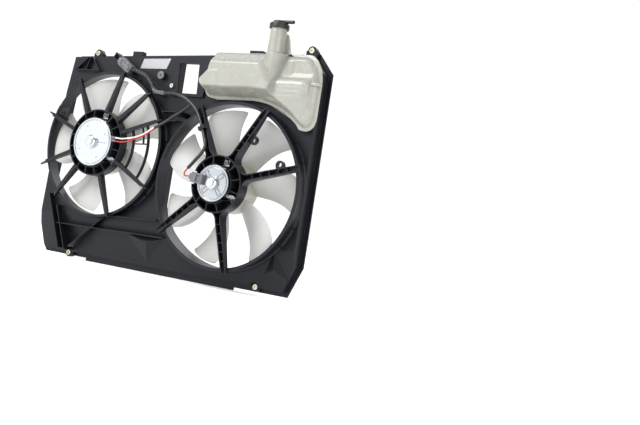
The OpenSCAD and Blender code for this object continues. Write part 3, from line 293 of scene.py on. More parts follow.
def use_group(tree, name, **values):
    made = tree.nodes.new("ShaderNodeGroup")
    made.node_tree = bpy.data.node_groups.get(name) or GROUP_MAKERS[name]()
    for key, value in values.items():
        made.inputs[key.replace("_", " ")].default_value = value
    return made


def start_material(name, **sockets):
    """A material with its Principled shader, whose constants are set on its own sockets."""
    made = bpy.data.materials.new(name)
    made.use_nodes = True
    shader = made.node_tree.nodes["Principled BSDF"]
    for key, value in sockets.items():
        shader.inputs[key.replace("_", " ")].default_value = value
    return made, made.node_tree, shader


def bump_from(tree, shader, height, strength, distance, normal=None):
    bump = node(tree, "ShaderNodeBump", Strength=strength, Distance=distance)
    tree.links.new(height, bump.inputs["Height"])
    if normal is not None:
        tree.links.new(normal, bump.inputs["Normal"])
    tree.links.new(bump.outputs[0], shader.inputs["Normal"])


def moulded_material(
    name, colour, rough=(0.36, 0.50), edge_light=0.35, radius=0.0011, grain=0.10, flow=0.25, **sockets
):
    """Moulded plastic: grain, flow marks, rubbed patches and softly rounded edges with a painted highlight
    along them.
    """
    made, tree, shader = start_material(name, **sockets)
    skin = use_group(tree, "Moulded Skin")
    rounded = use_group(tree, "Rounded Edge", Radius=radius)
    # pale is the colour of the painted highlight laid along the rounded edges
    pale = tuple(min(1.0, c * 1.6 + 0.03) for c in colour)
    deep = tuple(c * (1 - flow) for c in colour)
    light = tuple(min(1.0, c * (1 + flow)) for c in colour)
    body = mix_colour(tree, skin.outputs["Flow"], deep, light)
    edge_highlighted = mix_colour(tree, math_node(tree, "MULTIPLY", rounded.outputs["Edge"], edge_light), body, pale)
    tree.links.new(edge_highlighted, shader.inputs["Base Color"])
    rub = math_node(tree, "MULTIPLY", skin.outputs["Rub"], 0.45)
    wave = math_node(tree, "MULTIPLY", skin.outputs["Flow"], 0.55)
    rough_between(tree, shader, math_node(tree, "ADD", rub, wave), *rough)
    bump_from(tree, shader, skin.outputs["Grain"], grain, 0.0003, rounded.outputs["Normal"])
    return made


def nylon_material(name, finishes, axis, inner, outer):
    """Natural nylon: yellower towards the thick hub, faint flow lines, a little light let through."""
    made, tree, shader = start_material(
        name, IOR=1.53, Subsurface_Weight=0.12, Subsurface_Scale=0.004, Specular_IOR_Level=0.42
    )
    shader.inputs["Subsurface Radius"].default_value = (1.0, 0.95, 0.8)
    skin = use_group(tree, "Moulded Skin", Grain_Scale=700.0, Flow_Scale=22.0)
    reach = use_group(
        tree, "Axis Distance", Across=axis[0] * MM, Height=axis[1] * MM, Inner=inner * MM, Outer=outer * MM
    )
    rounded = use_group(tree, "Rounded Edge", Radius=0.0008)
    body = mix_colour(tree, reach.outputs["Ramp"], finishes.hub_tint, finishes.blades)
    shade = mix_colour(tree, skin.outputs["Flow"], (0.90, 0.90, 0.90), (1.0, 1.0, 0.995))
    tinted = mix_colour(tree, 1.0, body, shade, "MULTIPLY")
    tree.links.new(tinted, shader.inputs["Base Color"])
    rough_between(tree, shader, skin.outputs["Rub"], 0.34, 0.52)
    bump_from(tree, shader, skin.outputs["Grain"], 0.05, 0.0002, rounded.outputs["Normal"])
    return made


def metal_material(name, colour, rough=(0.16, 0.34), axis=None, radius=0.0006, ring_pitch=0.0, crease_shadow=0.0):
    """Plated or turned metal: spangle, rubbed patches, painted shade darkening its sharp edges and creases,
    and faint rings about an axis.
    """
    made, tree, shader = start_material(name, Metallic=1.0)
    skin = use_group(tree, "Moulded Skin", Grain_Scale=420.0, Flow_Scale=40.0)
    rounded = use_group(tree, "Rounded Edge", Radius=radius)
    dull = tuple(c * 0.85 for c in colour)
    tone = mix_colour(tree, skin.outputs["Flow"], dull, colour)
    # Painted shade: sharp edges and creases are darkened towards a bluish dark tone
    crease_shadow_colour = tuple(c * shade for c, shade in zip(colour, (0.22, 0.30, 0.38)))
    crease_shadowed = mix_colour(tree, math_node(tree, "MULTIPLY", rounded.outputs["Edge"], crease_shadow), tone, crease_shadow_colour)
    tree.links.new(crease_shadowed, shader.inputs["Base Color"])
    rough_between(tree, shader, skin.outputs["Rub"], *rough)
    height = skin.outputs["Grain"]
    if axis is not None and ring_pitch:
        reach = use_group(tree, "Axis Distance", Across=axis[0] * MM, Height=axis[1] * MM)
        phase = math_node(tree, "MULTIPLY", reach.outputs["Distance"], math.tau / ring_pitch)
        turned = math_node(tree, "MULTIPLY", math_node(tree, "SINE", phase), 0.5)
        height = math_node(tree, "ADD", height, turned)
    bump_from(tree, shader, height, 0.05, 0.00005, rounded.outputs["Normal"])
    return made


def reservoir_material(name, colour):
    """Blow-moulded polyethylene: milky, soft, with slow waves, a warmer bloom where it is thick and a painted
    highlight along its rounded edges.
    """
    made, tree, shader = start_material(
        name, IOR=1.5, Subsurface_Weight=0.35, Subsurface_Scale=0.012, Specular_IOR_Level=0.45,
        Coat_Weight=0.12, Coat_Roughness=0.22,
    )
    shader.inputs["Subsurface Radius"].default_value = (1.0, 1.0, 0.82)
    skin = use_group(tree, "Moulded Skin", Grain_Scale=260.0, Flow_Scale=26.0)
    rounded = use_group(tree, "Rounded Edge", Radius=0.003)
    warm = (colour[0] * 0.93, colour[1] * 0.90, colour[2] * 0.80)
    body = mix_colour(tree, skin.outputs["Flow"], warm, colour)
    # Painted highlight: clear is the body lightened towards pale along the rounded edges
    pale = tuple(min(1, c * 1.25) for c in colour)
    clear = mix_colour(tree, math_node(tree, "MULTIPLY", rounded.outputs["Edge"], 0.3), body, pale)
    tree.links.new(clear, shader.inputs["Base Color"])
    rough_between(tree, shader, skin.outputs["Rub"], 0.24, 0.42)
    bump_from(tree, shader, skin.outputs["Flow"], 0.2, 0.0016, rounded.outputs["Normal"])
    return made


def woven_material(name, colour, pitch, depth, rough=0.55):
    """Wound tape or woven sleeve: slanted bands over fine weave."""
    made, tree, shader = start_material(name, Specular_IOR_Level=0.35)
    place = object_place(tree)
    bands = node(tree, "ShaderNodeTexWave", Scale=1 / pitch / math.tau * 2, Distortion=1.2, Detail=2.0)
    weave = node(tree, "ShaderNodeTexNoise", Scale=1500.0, Detail=2.0)
    for texture in (bands, weave):
        tree.links.new(place, texture.inputs["Vector"])
    dark, pale = (tuple(min(1, c * gain) for c in colour) for gain in (0.7, 1.4))
    tone = mix_colour(tree, bands.outputs["Fac"], dark, pale)
    tree.links.new(tone, shader.inputs["Base Color"])
    rough_between(tree, shader, weave.outputs["Fac"], rough - 0.12, rough + 0.12)
    fine = math_node(tree, "MULTIPLY", weave.outputs["Fac"], 0.35)
    height = math_node(tree, "ADD", bands.outputs["Fac"], fine)
    bump_from(tree, shader, height, 0.5, depth)
    return made


def build_finishes(finishes):
    """Every finish of the assembly: those named as the record's slots, then those of single nodes."""
    # plate gives the end plates fine turned rings and strong painted shade in their edges and creases
    plate = {"radius": 0.0016, "ring_pitch": 0.0016, "crease_shadow": 0.9}
    # Finishes that take this get no painted highlight along their edges; the shroud moulding below gets a
    # stronger one than the default
    no_painted_edge_highlight = {"edge_light": 0.0}
    return {
        "black_plastic": moulded_material(
            "Shroud Moulding", finishes.moulding, edge_light=0.5, Specular_IOR_Level=0.28,
            Specular_Tint=(0.86, 0.92, 1.0, 1.0),
        ),
        "tank_plastic": reservoir_material("Reservoir Polyethylene", finishes.reservoir),
        "cap_plastic": moulded_material("Filler Cap Plastic", finishes.cap, (0.30, 0.44), radius=0.0008),
        "seal_rubber": moulded_material("Seal Rubber", (0.02, 0.02, 0.02), (0.6, 0.8)),
        # Zinc plate with painted shade in its edges and creases
        "plate_steel": metal_material("Zinc Plated Steel", finishes.zinc, (0.24, 0.40), crease_shadow=0.7),
        "sleeve_steel": metal_material("Passivated Steel", finishes.passivate, (0.22, 0.42)),
        "bearing_bronze": metal_material("Sintered Bronze", (0.50, 0.33, 0.16), (0.35, 0.5)),
        "magnet_ferrite": metal_material("Ferrite", (0.10, 0.10, 0.105), (0.45, 0.6)),
        "core_steel": metal_material("Bare Steel", (0.50, 0.51, 0.52), (0.22, 0.38)),
        "copper": metal_material("Enamelled Copper", (0.62, 0.27, 0.12), (0.2, 0.34)),
        "brush_board": moulded_material("Phenolic Board", (0.12, 0.06, 0.025), (0.45, 0.6)),
        "label_white": moulded_material(
            "Blank Label", (0.36, 0.36, 0.378), (0.42, 0.55), grain=0.03, flow=0.03, **no_painted_edge_highlight
        ),
        "connector_grey": moulded_material("Connector Nylon", finishes.plug, (0.40, 0.55), radius=0.0007),
        "sleeve_grey": woven_material("Woven Sleeve", (0.10, 0.103, 0.108), 0.0016, 0.0006),
        "tube_black": moulded_material("Vinyl Tube", (0.012, 0.012, 0.013), (0.28, 0.42), **no_painted_edge_highlight),
        "lead_white": moulded_material(
            "White Insulation", finishes.white_wire, (0.3, 0.42), flow=0.04, **no_painted_edge_highlight
        ),
        "lead_red": moulded_material("Red Insulation", finishes.red_wire, (0.28, 0.4), flow=0.08, **no_painted_edge_highlight),
        "screw_steel": metal_material("Dark Screw Steel", (0.20, 0.20, 0.205), (0.30, 0.46)),
        "trunk_tape": woven_material("Taped Bundle", (0.016, 0.016, 0.017), 0.009, 0.0012, 0.42),
        "left_nylon": nylon_material("Left Fan Nylon", finishes, LEFT_AXIS, 58, 80),
        "right_nylon": nylon_material("Right Fan Nylon", finishes, RIGHT_AXIS, 48, 70),
        "left_plate": metal_material(
            "Left End Plate Zinc", finishes.zinc, (0.26, 0.42), LEFT_AXIS, **plate
        ),
        # The right plate is the same zinc darkened to 0.72 of it, a painted shade
        "right_plate": metal_material(
            "Right End Plate Zinc Shaded", [c * 0.72 for c in finishes.zinc], (0.24, 0.40), RIGHT_AXIS, **plate
        ),
    }


OWN_FINISH = {
    "left_fan": "left_nylon",
    "right_fan": "right_nylon",
    "left_end_plate": "left_plate",
    "right_end_plate": "right_plate",
    "harness_trunk": "trunk_tape",
    "left_motor_screws": "screw_steel",
    "right_motor_screws": "screw_steel",
}
MATERIALS = {}


def finish_of(name):
    if not MATERIALS:
        MATERIALS.update(build_finishes(bpy.context.scene.radiator_fan_finishes))
    return MATERIALS[name]


# Mesh helpers


def mesh_from(work, name):
    mesh = bpy.data.meshes.new(name)
    work.to_mesh(mesh)
    work.free()
    return mesh


def publish(work, name, body, stands_for, slot, finish=None, smooth_angle=32.0):
    """Turns a bmesh into a finished piece that rides on its body and stands for its CAD nodes."""
    bmesh.ops.remove_doubles(work, verts=work.verts, dist=MERGE_DISTANCE)
    bmesh.ops.recalc_face_normals(work, faces=work.faces)
    mesh = mesh_from(work, name)
    mesh.materials.append(finish_of(finish or slot))
    mesh.shade_smooth()
    mesh.set_sharp_from_angle(angle=math.radians(smooth_angle))
    return place_piece(bpy.data.objects.new(name, mesh), body, stands_for)


def place_piece(piece, body, stands_for):
    bpy.context.scene.collection.objects.link(piece)
    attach(piece, body)
    if stands_for:
        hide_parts(*stands_for)
    return piece


def at(across, depth, height):
    """A point given in millimetres: across, depth towards the engine, height."""
    return Vector((across * MM, -depth * MM, height * MM))


def soften(work, edges, bevel):
    bmesh.ops.bevel(
        work, geom=edges, offset=bevel * MM, offset_type="OFFSET", affect="EDGES", segments=2,
        profile=0.5, material=-1,
    )


def thicken(work, face, vec):
    """Makes one face a solid slab along a vector, and gives its raised corners."""
    raised = bmesh.ops.extrude_face_region(work, geom=[face])["geom"]
    verts = [v for v in raised if isinstance(v, bmesh.types.BMVert)]
    bmesh.ops.translate(work, verts=verts, vec=vec)
    return verts


def lathe(work, profile, centre, axis, out, steps=96):
    """Turns a profile of (radius, along) points in millimetres, closed unless it ends on the axis."""
    verts = [work.verts.new(centre + out * (r * MM) + axis * (along * MM)) for r, along in profile]
    links = list(zip(verts, verts[1:]))
    if profile[0][0] > 0:
        links.append((verts[-1], verts[0]))
    edges = [work.edges.new(pair) for pair in links]
    bmesh.ops.spin(
        work, geom=verts + edges, cent=centre, axis=axis, angle=math.tau, steps=steps, use_merge=True
    )


def plate(work, outline, d0, d1, bevel=0.6):
    """An outline of [across, height] points made solid between two depths, with softened edges."""
    face = work.faces.new([work.verts.new(at(x, d0, z)) for x, z in outline])
    verts = thicken(work, face, ENGINE * ((d1 - d0) * MM))
    edges = {edge for vert in (*verts, *face.verts) for edge in vert.link_edges}
    level = [edge for edge in edges if abs(edge.verts[0].co.y - edge.verts[1].co.y) < 1e-7]
    soften(work, level, bevel)


def rounded(points, reach, steps=4):
    """An outline whose corners become curves that start up to reach before them."""
    eased = []
    for i, corner in enumerate(points):
        here = Vector(corner)
        back = Vector(points[i - 1]) - here
        on = Vector(points[(i + 1) % len(points)]) - here
        back = back.normalized() * min(reach, back.length * 0.48)
        on = on.normalized() * min(reach, on.length * 0.48)
        for k in range(steps + 1):
            t = k / steps
            eased.append(here + back * (1 - t) ** 2 + on * t**2)
    return eased


def tube_mesh(name, route, radius, sides=4):
    """A smooth round tube through [across, depth, height] points."""
    curve = bpy.data.curves.new(name, "CURVE")
    curve.dimensions = "3D"
    curve.bevel_depth = radius
    curve.bevel_resolution = sides
    curve.use_fill_caps = True
    curve.resolution_u = 8
    spline = curve.splines.new("BEZIER")
    spline.bezier_points.add(len(route) - 1)
    for point, stop in zip(spline.bezier_points, route):
        point.co = at(*stop)
        point.handle_left_type = point.handle_right_type = "AUTO"
    holder = bpy.data.objects.new(name, curve)
    mesh = bpy.data.meshes.new_from_object(holder)
    mesh.name = name
    bpy.data.objects.remove(holder)
    bpy.data.curves.remove(curve)
    return mesh


def block(work, place, low, high, bevel=0.8):
    """A box between two corners in millimetres, in the axes of place, with softened edges."""
    middle = [(a + b) / 2 * MM for a, b in zip(low, high)]
    size = [(b - a) * MM for a, b in zip(low, high)]
    matrix = place @ Matrix.Translation(middle) @ Matrix.Diagonal((*size, 1))
    made = bmesh.ops.create_cube(work, size=1, matrix=matrix)["verts"]
    soften(work, list({edge for vert in made for edge in vert.link_edges}), bevel)


def soft_min(a, b, soft):
    gap = max(soft - abs(a - b), 0.0)
    return min(a, b) - gap * gap / (4 * soft)


def soft_max(a, b, soft):
    return -soft_min(-a, -b, soft)


def soft_step(low, high, value):
    t = min(max((value - low) / (high - low), 0.0), 1.0)
    return t * t * (3 - 2 * t)


def soft_band(value, start, full, leave, end):
    """0 up to start, 1 between full and leave, and 0 again from end on."""
    return soft_step(start, full, value) * soft_step(end, leave, value)


# Harness routes as (across, depth, height) in millimetres

TRUNK_ROUTE = [
    (-124, 46, 427), (-115, 48, 427), (-105, 50, 425.5), (-94, 51, 422), (-80, 51, 417), (-68, 52, 410),
    (-58, 54, 402), (-50, 56, 394), (-44, 58, 387),
]
SLEEVE_ROUTE = [(-44, 58, 387), (-36, 59, 382), (-26, 61, 380), (-16, 63, 379), (-6, 65, 378)]
RIGHT_TUBE_ROUTE = [
    (-6, 65, 378), (8, 66, 379), (22, 68, 378), (36, 70, 375), (50, 71, 371), (62, 72, 365), (74, 73, 358),
    (86, 74.6, 349), (96, 75.9, 338), (104, 78, 327), (112, 80.2, 315), (119, 82.3, 303), (126, 84.5, 291),
    (132, 86.6, 281), (134, 89.5, 270), (131, 93, 258), (124, 96, 246), (116, 97.5, 235), (108, 98, 225),
]
LEFT_TUBE_ROUTE = [
    (-10, 76, 302), (2, 73, 310), (14, 70, 319), (26, 68, 329), (38, 66, 338), (50, 65.5, 346), (60, 66, 353),
    (67, 67, 359),
]
WHITE_ROUTE = [
    (-116.6, 82.6, 272), (-106, 83, 271.5), (-95, 84, 271), (-84, 84, 271), (-72, 83, 273), (-58, 82, 276),
    (-46, 81, 280), (-34, 80, 285), (-22, 78, 294), (-10, 76, 303.5),
]
RED_ROUTE = [
    (-115.3, 82.6, 266), (-106, 83, 265), (-95, 84, 264), (-84, 84, 264), (-70, 83, 267), (-56, 82, 272),
    (-44, 81, 277), (-32, 80, 283), (-20, 78, 291), (-9, 76, 300.5),
]
RIGHT_LEAD_ROUTE = [
    (108, 98, 225), (104, 99, 219), (103.5, 101, 213), (107, 103, 209.5), (113, 103.5, 209),
    (120.7, 103.5, 209.5),
]


class RADIATORFAN_OT_add_harness(bpy.types.Operator):
    """Add the taped bundle, the sleeves and the leads"""

    bl_idname = "radiator_fan.add_harness"
    bl_label = "Add Harness"

    def execute(self, context):
        sizes = context.scene.radiator_fan_harness
        for name, node_name, route, radius, slot in (
            ("taped_trunk", "harness_trunk", TRUNK_ROUTE, sizes.trunk_radius, "tube_black"),
            ("woven_sleeve", "trunk_sleeve", SLEEVE_ROUTE, sizes.sleeve_radius, "sleeve_grey"),
            ("right_vinyl_tube", "right_motor_tube", RIGHT_TUBE_ROUTE, sizes.tube_radius, "tube_black"),
            ("left_vinyl_tube", "left_motor_tube", LEFT_TUBE_ROUTE, sizes.tube_radius, "tube_black"),
            ("white_wire", "white_lead", WHITE_ROUTE, sizes.lead_radius, "lead_white"),
            ("red_wire", "red_lead", RED_ROUTE, sizes.lead_radius, "lead_red"),
            ("plug_wire", "right_motor_lead", RIGHT_LEAD_ROUTE, sizes.lead_radius, "lead_red"),
        ):
            mesh = tube_mesh(name, route, radius)
            mesh.materials.append(finish_of(OWN_FINISH.get(node_name) or slot))
            place_piece(bpy.data.objects.new(name, mesh), "shroud", [node_name])
        return {"FINISHED"}


class RADIATORFAN_OT_add_plug(bpy.types.Operator):
    """Add the grey harness plug with its latch and ribs, and the black bracket that holds it"""

    bl_idname = "radiator_fan.add_plug"
    bl_label = "Add Harness Plug"

    def execute(self, context):
        place = Matrix.Translation(at(-140, 44, 437)) @ Matrix.Rotation(math.radians(32), 4, "Y")
        grip_pitch = 2.6
        work = bmesh.new()
        for low, high, bevel in (
            ((-19, -8, -10), (19, 8, 10), 1.4),
            ((-22, -9.6, -6), (-12, 9.6, 6), 1.0),
            ((-6, -11, -4), (16, -7.5, 4), 0.7),
            ((-12, 7, -5), (6, 12, 5), 0.5),
        ):
            block(work, place, low, high, bevel)
        for i in range(4):
            run = i * grip_pitch
            block(work, place, (8 + run, -8.8, 5), (9.3 + run, -7.5, 9.2), 0.3)
            block(work, place, (-10 + run, -8.8, -9.2), (-8.7 + run, -7.5, -5), 0.3)
        for height in (5.4, 8.2):
            block(work, place, (-17, -8.8, height), (-1, -7.5, height + 1), 0.3)
        publish(work, "plug_housing", "shroud", ["harness_connector"], "connector_grey")
        work = bmesh.new()
        for low, high, bevel in (
            ((-44, -3, 4), (-22.3, 3, 7), 0.7),
            ((-44, -3, -8), (-22.3, 3, -5), 0.7),
            ((-27, -3, -6), (-22.3, 9, 6), 0.7),
            ((-44, -2.6, -6), (-40.5, 9, 6), 0.7),
            ((-42, 3, -8), (-22.3, 12, 7), 0.9),
        ):
            block(work, place, low, high, bevel)
        publish(work, "plug_bracket", "shroud", ["connector_clip"], "black_plastic")
        work = bmesh.new()
        for route in (WHITE_ROUTE, RED_ROUTE):
            start, end = at(*route[0]), at(*route[1])
            axis = (end - start).normalized()
            out = axis.orthogonal().normalized()
            lathe(work, [
                (1.5, 0.5), (3.0, 0.5), (3.3, 1), (3.3, 3.4), (2.6, 3.8), (2.6, 9), (2.9, 9.4), (2.9, 11.4),
                (2.4, 12), (1.5, 12),
            ], start, axis, out, 24)
        publish(work, "lead_boots", "shroud", [], "connector_grey")
        return {"FINISHED"}


class RADIATORFAN_OT_add_ring_details(bpy.types.Operator):
    """Add the nubs round the rims, the lug in the left ring and the washer of the grommet"""

    bl_idname = "radiator_fan.add_ring_details"
    bl_label = "Add Ring Details"

    NUBS = 24
    NUB_DEPTH = 34.5

    def execute(self, context):
        for side, axis, radius in (("left", LEFT_AXIS, 162.3), ("right", RIGHT_AXIS, 171.4)):
            self.add_nubs(side, axis, radius)
        self.add_lug()
        self.add_washer()
        return {"FINISHED"}

    def add_nubs(self, side, axis, radius):
        """Low studs at even steps on the panel, left out where the rim runs past it."""
        work = bmesh.new()
        for i in range(self.NUBS):
            angle = math.tau * (i + 0.5) / self.NUBS
            across = axis[0] + radius * math.cos(angle)
            height = axis[1] + radius * math.sin(angle)
            if -326 < across < 336 and height > 96:
                profile = [(0, 2.6), (1.1, 2.4), (1.6, 1.6), (1.7, -3), (0, -3)]
                lathe(work, profile, at(across, self.NUB_DEPTH, height), ENGINE, ACROSS, 12)
        publish(work, f"{side}_rim_nubs", "shroud", [], "black_plastic")

    def add_lug(self):
        """A tab with an eye that stands inside the rim of the left ring, clear of the blades."""
        work = bmesh.new()
        tab = [(-312, 300), (-279, 301), (-281, 326), (-287, 332), (-302, 332), (-313, 327)]
        plate(work, rounded(tab, 4), 50, 53)
        eye = [(2.4, 53.2), (4.8, 53.2), (5.2, 53.6), (5.2, 54.4), (4.8, 54.8), (2.4, 54.8)]
        lathe(work, eye, at(-296, 0, 319), ENGINE, ACROSS, 32)
        publish(work, "ring_lug", "shroud", [], "black_plastic")

    def add_washer(self):
        """A broad washer under the round grommet of the upper panel."""
        low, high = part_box("round_grommet")
        centre = Vector(((low[0] + high[0]) / 2, low[1], (low[2] + high[2]) / 2))
        work = bmesh.new()
        lathe(work, [
            (4.2, -2.6), (8.2, -2.6), (8.8, -2), (8.8, -1), (8.2, -0.4), (5.6, -0.2), (5.2, 0.4), (4.2, 0.4),
        ], centre, ENGINE, ACROSS, 48)
        publish(work, "grommet_washer", "shroud", [], "connector_grey")


def blade_point(r, s, side, r0, r1, shape, corner, thick):
    """A point of a blade in millimetres: s runs across the chord, side is 1 on the engine face.

    shape holds the chord's angle at the root and the tip, the sweep, the depth spanned at the root and
    the tip, the camber, the depth of the blade's middle and the bend of its edges.
    """
    root, tip, sweep, root_span, tip_span, camber, middle, bend = shape
    k = (r - r0) / (r1 - r0)
    width = root + (tip - root) * k
    rounding = corner - math.sqrt(max(0.0, corner**2 - (r - r1 + corner) ** 2)) if r > r1 - corner else 0.0
    trim = rounding / (math.pi * r / 180)
    angle = math.radians(sweep * (0.5 - k) + bend * math.sin(math.pi * k) + (width - 2 * trim) * (s - 0.5))
    span = (root_span + (tip_span - root_span) * k) * (width - 2 * trim) / width
    arch = 1 - (2 * s - 1) ** 2
    half = thick * (0.55 + 0.45 * math.sqrt(max(0.0, arch))) * (1.25 - 0.5 * k) / 2
    return r * math.cos(angle), middle + span * (s - 0.5) + camber * arch + side * half, r * math.sin(angle)


def add_blade(work, axis, turn, r0, r1, shape, corner, thick, chord=14, steps=34):
    """One closed blade: a sheet of stations wrapped round the chord, its ends filled."""
    stations = [r0 + (r1 - corner - r0) * i / steps for i in range(steps)]
    stations += [r1 - corner * (1 - math.sin(math.pi / 2 * i / 10)) for i in range(11)]
    made = bmesh.ops.create_grid(work, x_segments=2 * chord, y_segments=len(stations) - 1, size=1)["verts"]
    turned = Matrix.Rotation(-math.radians(turn), 3, "Y")
    centre = at(axis[0], 0, axis[1])
    for vert in made:
        lap = round((vert.co.x + 1) * chord) % (2 * chord)
        row = round((vert.co.y + 1) / 2 * (len(stations) - 1))
        side = 1 if lap <= chord else -1
        s = (1 - math.cos(math.pi * (lap if lap <= chord else 2 * chord - lap) / chord)) / 2
        x, depth, z = blade_point(stations[row], s, side, r0, r1, shape, corner, thick)
        vert.co = centre + turned @ Vector((x, -depth, z)) * MM
    bmesh.ops.remove_doubles(work, verts=made, dist=MERGE_DISTANCE)
    ends = [edge for edge in work.edges if edge.is_boundary]
    bmesh.ops.holes_fill(work, edges=ends, sides=0)


def add_hub(work, axis, radius, face, skirt, bore, dome):
    """Cup of a fan with a rolled edge, a boss and eight ribs behind its face."""
    centre = at(axis[0], 0, axis[1])
    lathe(work, [
        (bore, face - dome + 2), (bore + 4.4, face - dome + 2), (bore + 5, face - dome + 1.4),
        (bore + 5, face - dome), (radius * 0.5, face - dome), (radius * 0.7, face - dome * 0.6),
        (radius - 7, face), (radius - 3, face + 0.7), (radius - 1, face + 2.2), (radius - 0.2, face + 4.4),
        (radius, face + 7), (radius, skirt - 0.6), (radius - 0.6, skirt), (radius - 2, skirt),
        (radius - 2.5, skirt - 0.6), (radius - 2.5, face + 6), (radius - 4.5, face + 3.4),
        (radius - 8, face + 2.8), (radius * 0.5, face + 3 - dome), (bore + 8, face + 3 - dome),
        (bore + 7, face + 4 - dome), (bore + 7, face + 9.4), (bore + 6.4, face + 10), (bore, face + 10),
    ], centre, ENGINE, ACROSS, 120)
    for i in range(8):
        turned = Matrix.Rotation(math.radians(i * 45), 3, "Y")
        loop = [
            (bore + 5.5, face + 2.4 - dome), (radius * 0.5, face + 2.4 - dome), (radius - 6, face + 2.4),
            (radius - 2.2, face + 5), (radius - 2.2, face + 12), (bore + 6.5, face + 8.5),
        ]
        rib = work.faces.new([work.verts.new(centre + turned @ Vector((r, -d, -1)) * MM) for r, d in loop])
        thicken(work, rib, turned @ Vector((0, 0, 2 * MM)))


class RADIATORFAN_OT_add_fans(bpy.types.Operator):
    """Add the two moulded fans with their blades and hubs"""

    bl_idname = "radiator_fan.add_fans"
    bl_label = "Add Fans"

    def execute(self, context):
        blades = context.scene.radiator_fan_blades
        for side, axis, count, first, radius, ring, shape, hub in (
            ("left", LEFT_AXIS, blades.left_count, 35.5, 64.0, 156.0,
             (56, 46, 8, 26, 20, 4, 33, 4), (18, 52, 5.0, 0)),
            ("right", RIGHT_AXIS, blades.right_count, 3.5, 54.0, 165.0,
             (40, 29, 10, 34, 24, 5, 34, 4), (10, 59, 4.0, 3)),
        ):
            work = bmesh.new()
            add_hub(work, axis, radius, *hub)
            for i in range(count):
                add_blade(
                    work, axis, first + i * 360 / count, radius - 1.2, ring - blades.tip_gap / MM, shape,
                    blades.corner / MM, blades.thickness / MM,
                )
            publish(
                work, f"{side}_fan_moulding", f"{side}_rotor", [f"{side}_fan"], "fan_plastic",
                f"{side}_nylon", 40,
            )
        return {"FINISHED"}


def tapered(low, high, d0, d1):
    """Side planes of a chamber that narrows from one outline at depth d0 to another at depth d1."""
    planes = []
    for i, corner in enumerate(low):
        here = Vector(corner)
        along = (Vector(low[(i + 1) % len(low)]) - here).normalized()
        inward = Vector((-along.y, along.x))
        run = max((Vector(high[i]) - here).dot(inward), 1.0)
        planes.append((here, inward, (d1 - d0) / run))
    return planes, d0, d1


def chamber_depth(chamber, place, soft):
    planes, d0, depth = chamber
    for here, inward, slope in planes:
        depth = soft_min(depth, d0 + (place - here).dot(inward) * slope, soft)
    return depth


